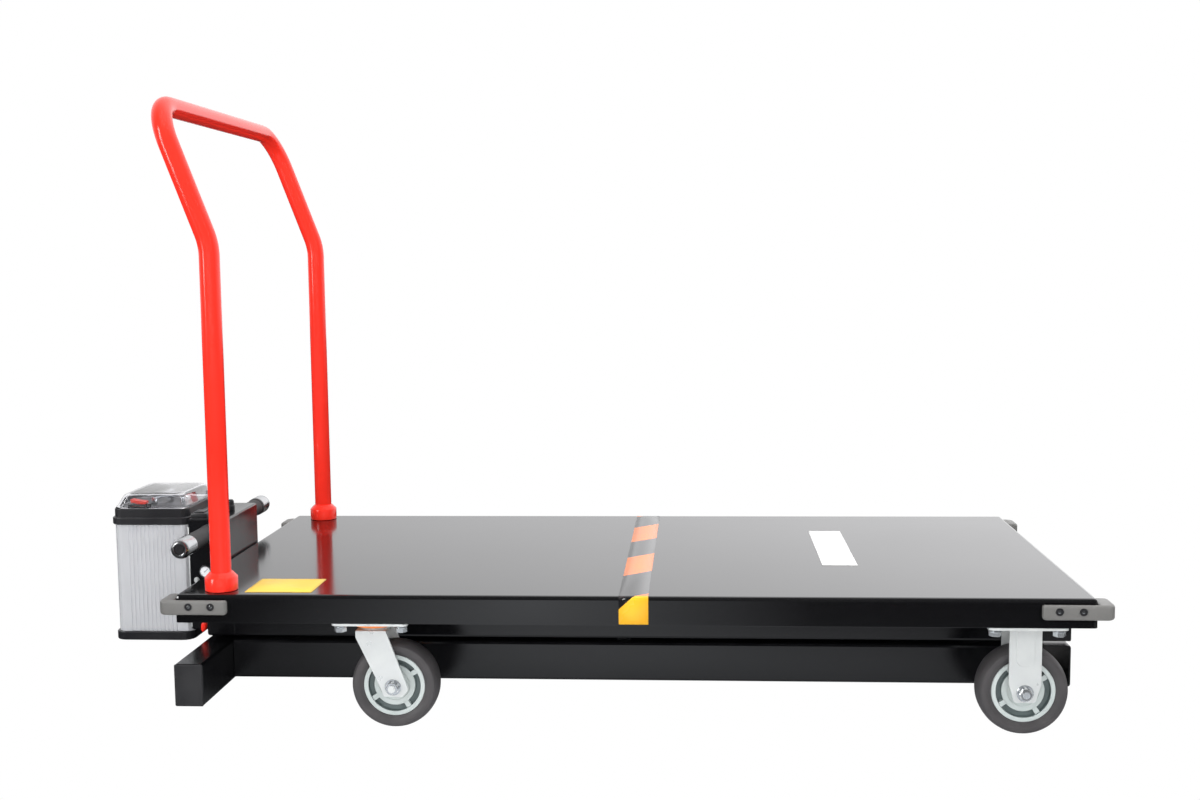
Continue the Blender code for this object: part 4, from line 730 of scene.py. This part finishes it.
# %% Label plates
WHITE_SIZE, WHITE_CORNER = (0.060, 0.308), 0.002
YELLOW_SIZE, YELLOW_CORNER = (0.110, 0.096), 0.003
FACE_SIZE, FACE_CORNER, FACE_EDGE = (0.102, 0.088), 0.002, 0.0001
label_foot = deck_top + 0.0001
face_foot = deck_top + 0.0003
rim_top = deck_top + 0.0005
label_top = deck_top + 0.0006
white_at = (deck_x + 0.355, 0.0345, 0)
yellow_at = (deck_x - 0.562, -0.289, 0)
shape = bmesh.new()
plate(shape, rectangle(*WHITE_SIZE, WHITE_CORNER), label_foot, label_top, white_at)
make("white_plate", shape, [label_white], "deck")
shape = bmesh.new()
plate(shape, rectangle(*YELLOW_SIZE, YELLOW_CORNER), label_foot, rim_top, yellow_at)
plate(shape, rectangle(*FACE_SIZE, FACE_CORNER), face_foot, label_top, yellow_at, FACE_EDGE, slot=1)
make("yellow_plate", shape, [label_edge, label_yellow], "deck")
print("label plates rise", round(1000 * (label_top - deck_top), 1), "mm")

# %% [markdown]
# ## Clear lid
# The lid is a thick clear moulding with a small flange at its foot. It is built from rings that
# rise from the flange and lean in, the rear wall most, with a rounded shoulder below the top.

# %% Lid
FLANGE_HEIGHT, FLANGE_SLOPE, WALL_INSET, WALL_RING = 0.0030, 0.0004, 0.0012, 0.0130
SHOULDER, SHOULDER_STEPS, LID_CORNER, LID_WALL = 0.0070, 6, 0.0130, 0.0025
FRONT_LEAN, REAR_LEAN, FLANK_LEAN = 0.005, 0.015, 0.005
low, high = corners("clear_lid")
tall = high.z - low.z
levels = [(0.0, 0.0), (FLANGE_HEIGHT, 0.0), (FLANGE_HEIGHT + FLANGE_SLOPE, WALL_INSET),
          (WALL_RING, WALL_INSET), (tall - SHOULDER, WALL_INSET)]
for step in range(1, SHOULDER_STEPS + 1):
    angle = math.radians(90 / SHOULDER_STEPS * step)
    levels.append((tall - SHOULDER * (1 - math.sin(angle)), WALL_INSET + SHOULDER * (1 - math.cos(angle))))
shape = bmesh.new()
loops = []
for rise, inset in levels:
    lean = rise / tall
    front = high.x - FRONT_LEAN * lean - inset
    rear = low.x + REAR_LEAN * lean + inset
    flank = high.y - FLANK_LEAN * lean - inset
    ring = [(front, -flank), (front, flank), (rear, flank), (rear, -flank)]
    ring = rounded([((x, y, 0), LID_CORNER) for x, y in ring])
    loops.append([shape.verts.new((point.x, point.y, low.z + rise)) for point in ring])
for lower, upper in zip(loops, loops[1:]):
    for k in range(len(lower)):
        shape.faces.new((lower[k - 1], lower[k], upper[k], upper[k - 1]))
shape.faces.new(loops[-1])
lid = make("clear_lid_moulding", shape, [clear_plastic], "lid", ["clear_lid"], 60)
wall = lid.modifiers.new("wall", "SOLIDIFY")
wall.thickness = LID_WALL
wall.offset = -1.0
print("lid", round(1000 * tall), "mm tall in", len(levels), "rings")

# %% [markdown]
# Under the lid, on top of the cap, a bright cross tube lies on two feet, and beside it stands a
# small bright knob.

# %% Cross tube
TUBE_RISE, TUBE_RADIUS = 0.0105, 0.0042
TUBE_ENDS, FOOT_PLACES = (-0.036, 0.056), (-0.030, 0.050)
FOOT_HALF_LONG, FOOT_HALF_WIDE, FOOT_EDGE = 0.005, 0.003, 0.0006
TUBE_FROM_REAR, KNOB_FROM_REAR, KNOB_ASIDE = 0.060, 0.098, 0.024
KNOB = [(0, 0.0060), (0.0072, 0.0060), (0.0080, 0.0052), (0.0080, 0.0), (0, 0.0)]
cap_top = low.z + 0.0002
tube_x = low.x + TUBE_FROM_REAR
shape = bmesh.new()
bend(shape, [Vector((tube_x, y, cap_top + TUBE_RISE)) for y in TUBE_ENDS], TUBE_RADIUS, 24)
for y in FOOT_PLACES:
    block(shape, (tube_x - FOOT_HALF_LONG, y - FOOT_HALF_WIDE, cap_top),
          (tube_x + FOOT_HALF_LONG, y + FOOT_HALF_WIDE, cap_top + TUBE_RISE), FOOT_EDGE)
lathe(shape, KNOB, (low.x + KNOB_FROM_REAR, KNOB_ASIDE, cap_top), "z", 40)
make("cross_tube_under_lid", shape, [bright_zinc], "deck")
print("cross tube", round(1000 * (TUBE_ENDS[1] - TUBE_ENDS[0])), "mm long")

# %% [markdown]
# ## Hand grips
# Short grips stand out on both sides of the control box. Each has a rubber sleeve with a raised
# band near either end.

# %% Grip sleeves
SLEEVE_INSIDE, SLEEVE, BAND = 0.0110, 0.0158, 0.0166
BAND_EDGE, BAND_END, BAND_FOOT = 0.0008, 0.006, 0.007
grip_high = corners("grip_bar")[1]
grip_axis = centre("grip_bar")
for side, sign in (("left", 1), ("right", -1)):
    low, high = corners("hand_grip_" + side)
    inside = min(abs(low.y), abs(high.y))
    long = max(abs(low.y), abs(high.y)) - inside
    sleeve = [(SLEEVE_INSIDE, long), (SLEEVE, long), (BAND, long - BAND_EDGE), (BAND, long - BAND_END),
              (SLEEVE, long - BAND_FOOT), (SLEEVE, BAND_FOOT), (BAND, BAND_END), (BAND, BAND_EDGE),
              (SLEEVE, 0.0), (SLEEVE_INSIDE, 0.0)]
    shape = bmesh.new()
    lathe(shape, sleeve, (grip_axis.x, sign * inside, grip_axis.z), "y" if sign > 0 else "-y", 64)
    make("grip_sleeve_" + side, shape, [knurl], "deck", ["hand_grip_" + side])
print("sleeves", round(1000 * long), "mm long")

# %% [markdown]
# Outside the sleeves the bar carries turned metal ends. They taper to a rounded lip round a black
# plug.

# %% Grip ends
END_FROM = 0.188
BAR_RADIUS = 0.0105
long = grip_high.y - END_FROM
METAL_END = [(0, long - 0.003), (0.0090, long - 0.003), (0.0092, long - 0.0004), (0.0098, long),
             (0.0112, long), (0.0126, long - 0.0006), (0.0148, long - 0.0026), (0.0163, long - 0.0054),
             (0.0171, long - 0.0098), (0.0171, 0.0010), (0.0166, 0.0004), (0, 0.0004)]
PLUG = [(0, long - 0.0026), (0.0012, long - 0.0010), (0.0080, long - 0.0008), (0.0089, long - 0.0016),
        (0.0089, long - 0.0032), (0, long - 0.0032)]
shape = bmesh.new()
for sign in (1, -1):
    axis = "y" if sign > 0 else "-y"
    at = (grip_axis.x, sign * END_FROM, grip_axis.z)
    lathe(shape, METAL_END, at, axis, 64)
    lathe(shape, PLUG, at, axis, 32, slot=1)
bar = [(0, END_FROM), (BAR_RADIUS, END_FROM), (BAR_RADIUS, -END_FROM), (0, -END_FROM)]
lathe(shape, bar, (grip_axis.x, 0, grip_axis.z), "y", 32)
make("grip_ends", shape, [gunmetal, black_plastic], "deck", ["grip_bar"])
print("metal ends", round(1000 * long), "mm long")

# %% [markdown]
# ## Gauge
# The control box carries a small round gauge: a metal case, a white dial, nine plain ticks and a
# needle.

# %% Gauge
GAUGE_CASE = [(0, 0.0058), (0.0094, 0.0058), (0.0096, 0.0068), (0.0110, 0.0068), (0.0114, 0.0062),
              (0.0114, 0), (0, 0)]
DIAL = [(0, 0.0061), (0.0090, 0.0061), (0.0090, 0.0057), (0, 0.0057)]
TICK = [(0, 0.0003), (0.0005, 0.0003), (0.0005, 0), (0, 0)]
TICKS, TICKS_FROM, TICKS_OVER, TICK_REACH = 9, 225, 270, 0.0078
TICK_DEPTH, NEEDLE_DEPTH, NEEDLE_THICK = 0.0062, 0.0063, 0.0004
NEEDLE = ((-0.002, -0.001), (0.0045, 0.0048))
gauge_mid = centre("gauge")
face_y = corners("gauge")[1].y
gauge_at = (gauge_mid.x, face_y, gauge_mid.z)
shape = bmesh.new()
lathe(shape, GAUGE_CASE, gauge_at, "-y", 48)
lathe(shape, DIAL, gauge_at, "-y", 48, slot=1)
for number in range(TICKS):
    angle = math.radians(TICKS_FROM - TICKS_OVER * number / (TICKS - 1))
    out = Vector((math.cos(angle), 0, math.sin(angle)))
    spot = Vector((gauge_mid.x, face_y - TICK_DEPTH, gauge_mid.z)) + out * TICK_REACH
    lathe(shape, TICK, spot, "-y", 8, slot=2)
pivot = Vector((gauge_mid.x, face_y - NEEDLE_DEPTH, gauge_mid.z))
bend(shape, [pivot + Vector((x, 0, z)) for x, z in NEEDLE], NEEDLE_THICK, 8, slot=2)
make("gauge_dial", shape, [gunmetal, dial_white, dial_ink], "deck", ["gauge"])
print("gauge", round(2000 * GAUGE_CASE[4][0], 1), "mm across")

# %% [markdown]
# ## Screw, trim and latch
# Under the gauge a bright screw closes the valve, and a narrow bright trim runs up the box's rear
# edge. A black latch of two blocks stands on top of the box.

# %% Screw, trim and latch
SCREW_HEAD, SCREW_TALL, SCREW_FLANGE = 0.0042, 0.0045, 0.0052
SCREW_END = [(0, 0.0052), (0.0022, 0.0052), (0.0022, 0), (0, 0)]
SCREW_FROM_REAR, SCREW_BELOW_GAUGE = 0.0135, 0.0165
TRIM_FOOT, TRIM_HEAD, TRIM_EDGE = Vector((0.0002, -0.0008, 0.005)), Vector((0.0022, 0.0004, -0.0155)), 0.0003
LATCH = ((Vector((0.004, -0.078, -0.0005)), Vector((0.034, -0.040, 0.008)), 0.0015),
         (Vector((0.008, -0.072, 0.0075)), Vector((0.026, -0.048, 0.0105)), 0.001))
box_low, box_high = corners("control_box")
screw_at = (box_low.x + SCREW_FROM_REAR, box_low.y, gauge_mid.z - SCREW_BELOW_GAUGE)
shape = bmesh.new()
hex_bolt(shape, screw_at, "-y", SCREW_HEAD, SCREW_TALL, SCREW_FLANGE)
lathe(shape, SCREW_END, screw_at, "-y", 16)
block(shape, box_low + TRIM_FOOT, Vector((box_low.x, box_low.y, box_high.z)) + TRIM_HEAD, TRIM_EDGE)
make("valve_screw_and_trim", shape, [zinc], "deck")
shape = bmesh.new()
latch_at = Vector((box_low.x, 0, box_high.z))
for low, high, edge in LATCH:
    block(shape, latch_at + low, latch_at + high, edge)
make("latch_block", shape, [black_plastic], "deck")
print("control box", [round(v, 3) for v in box_high - box_low])

# %% [markdown]
# ## Floor
# The trolley stands on a plain pale floor, which looks white to the eye. Mirrored in glossy
# surfaces it is dark with two soft pools of light, which give the black sides their sheen.

# %% Floor
FLOOR_HALF = 12.0
WHITE = (1, 1, 1, 1)
SIDE_POOL = ((0.24, 1.14, 0.0), (1.6, 0.9, 1.0))
NEAR_POOL = ((-0.20, 1.0, 0.0), (0.8, 2.0, 1.0))
POOL_DARK, POOL_BRIGHT = 0.03, 1.05


def pool(tree, place, location, scale):
    """Round pool of light: full in its middle and nothing at its rim."""
    shift = add_node(tree, "Mapping", location=location, scale=scale)
    fade = add_node(tree, "TexGradient")
    fade.gradient_type = "SPHERICAL"
    tree.links.new(place.outputs["Object"], shift.inputs["Vector"])
    tree.links.new(shift.outputs["Vector"], fade.inputs["Vector"])
    return fade.outputs["Fac"]


def blend(tree, share, first, second):
    """First look where the share is nothing, second look where it is full."""
    both = add_node(tree, "MixShader")
    tree.links.new(share, both.inputs["Fac"])
    tree.links.new(first, both.inputs[1])
    tree.links.new(second, both.inputs[2])
    return both.outputs["Shader"]


floor_shape = bmesh.new()
bmesh.ops.create_grid(floor_shape, x_segments=1, y_segments=1, size=FLOOR_HALF)
floor_mesh = bpy.data.meshes.new("studio_floor")
floor_shape.to_mesh(floor_mesh)
floor_shape.free()
floor = bpy.data.objects.new("studio_floor", floor_mesh)
bpy.context.scene.collection.objects.link(floor)
floor_look = bpy.data.materials.new("pale_floor")
floor_look.use_nodes = True
tree = floor_look.node_tree
tree.nodes.clear()
ray = add_node(tree, "LightPath")
place = add_node(tree, "TexCoord")
side_pool = add_node(tree, "MapRange", to_min=POOL_DARK, to_max=POOL_BRIGHT)
tree.links.new(pool(tree, place, *SIDE_POOL), side_pool.inputs["Value"])
pools = add_node(tree, "Math")
pools.operation = "ADD"
tree.links.new(side_pool.outputs["Result"], pools.inputs[0])
tree.links.new(pool(tree, place, *NEAR_POOL), pools.inputs[1])
matt = add_node(tree, "BsdfDiffuse", color=(0.80, 0.80, 0.80, 1))
mirrored = add_node(tree, "Emission", color=(0.93, 0.96, 1.0, 1))
tree.links.new(pools.outputs["Value"], mirrored.inputs["Strength"])
white = add_node(tree, "Emission", color=WHITE, strength=1.0)
look = blend(tree, ray.outputs["Is Glossy Ray"], matt.outputs["BSDF"], mirrored.outputs["Emission"])
look = blend(tree, ray.outputs["Is Camera Ray"], look, white.outputs["Emission"])
out = add_node(tree, "OutputMaterial")
tree.links.new(look, out.inputs["Surface"])
floor.data.materials.append(floor_look)
print("floor", 2 * FLOOR_HALF, "m square")

# %% [markdown]
# ## Sky
# Round the trolley all is white, and it lights the scene softly. Glossy surfaces see a sky that
# brightens toward the far side and toward the front end, so the deck goes from grey to pale.

# %% Sky
world = bpy.data.worlds.new("studio")
bpy.context.scene.world = world
world.use_nodes = True
tree = world.node_tree
tree.nodes.clear()
place = add_node(tree, "TexCoord")
toward = add_node(tree, "SeparateXYZ")
tree.links.new(place.outputs["Generated"], toward.inputs["Vector"])
to_far_side = add_node(tree, "MapRange", from_min=-0.35, from_max=0.55, to_min=0.10, to_max=1.25)
to_far_side.interpolation_type = "SMOOTHSTEP"
tree.links.new(toward.outputs["Y"], to_far_side.inputs["Value"])
to_front = add_node(tree, "MapRange", from_min=-0.35, from_max=0.35, to_min=0.78, to_max=1.32)
tree.links.new(toward.outputs["X"], to_front.inputs["Value"])
strength = add_node(tree, "Math")
strength.operation = "MULTIPLY"
tree.links.new(to_far_side.outputs["Result"], strength.inputs[0])
tree.links.new(to_front.outputs["Result"], strength.inputs[1])
sheen = add_node(tree, "Background", color=(0.99, 0.99, 1.0, 1))
tree.links.new(strength.outputs["Value"], sheen.inputs["Strength"])
soft = add_node(tree, "Background", color=(0.95, 0.97, 1.0, 1), strength=0.42)
white = add_node(tree, "Background", color=WHITE, strength=1.0)
ray = add_node(tree, "LightPath")
straight = add_node(tree, "Math")
straight.operation = "MAXIMUM"
tree.links.new(ray.outputs["Is Camera Ray"], straight.inputs[0])
tree.links.new(ray.outputs["Is Transmission Ray"], straight.inputs[1])
look = blend(tree, ray.outputs["Is Glossy Ray"], soft.outputs["Background"], sheen.outputs["Background"])
look = blend(tree, straight.outputs["Value"], look, white.outputs["Background"])
out = add_node(tree, "OutputWorld")
tree.links.new(look, out.inputs["Surface"])
print(len(tree.nodes), "nodes in the sky")

# %% [markdown]
# ## Lights
# One broad soft light hangs overhead, two stand at the sides and a low one fills the front. Only
# the left one shows in glossy surfaces, as the long highlight on the handle.

# %% Lights


def soft_light(name, at, target, width, height, power, mirrored=False):
    """Broad lamp turned to a target."""
    data = bpy.data.lights.new(name, "AREA")
    data.shape = "RECTANGLE"
    data.size = width
    data.size_y = height
    data.energy = power
    lamp = bpy.data.objects.new(name, data)
    lamp.location = at
    lamp.rotation_euler = (Vector(target) - Vector(at)).to_track_quat("-Z", "Y").to_euler()
    lamp.visible_glossy = mirrored
    bpy.context.scene.collection.objects.link(lamp)


soft_light("overhead_light", (0.3, -0.6, 3.0), (0.1, 0, 0.2), 3.2, 1.6, 90)
soft_light("left_light", (-3.0, -2.4, 1.6), (-0.2, 0, 0.4), 0.7, 2.0, 60, mirrored=True)
soft_light("low_front_light", (0.0, -3.2, 0.7), (0.0, 0, 0.15), 3.2, 0.5, 34)
soft_light("right_light", (2.8, -2.6, 1.8), (0.2, 0, 0.4), 0.7, 2.0, 42)

# %% [markdown]
# ## Camera
# The camera stands before the near side, a little toward the front end and above the deck, and
# looks slightly down.

# %% Camera
SENSOR = 36.0
FOCAL_PIXELS, PICTURE_WIDTH = 1421.9, 1200
CAMERA_AT = (deck_x + 0.1124, -2.5397, 0.7527)
TURN, TILT, ROLL = 0.0688, -0.0982, -0.0111
camera_data = bpy.data.cameras.new("camera")
camera_data.sensor_width = SENSOR
camera_data.lens = FOCAL_PIXELS / PICTURE_WIDTH * SENSOR
camera = bpy.data.objects.new("camera", camera_data)
bpy.context.scene.collection.objects.link(camera)
upright = Matrix.Rotation(math.radians(90), 4, "X")
aim = Matrix.Rotation(TURN, 4, "Y") @ Matrix.Rotation(TILT, 4, "X") @ Matrix.Rotation(ROLL, 4, "Z")
camera.matrix_world = Matrix.Translation(CAMERA_AT) @ upright @ aim
bpy.context.scene.camera = camera
bpy.context.scene.view_settings.view_transform = "Standard"
print("lens", round(camera_data.lens, 1), "mm")
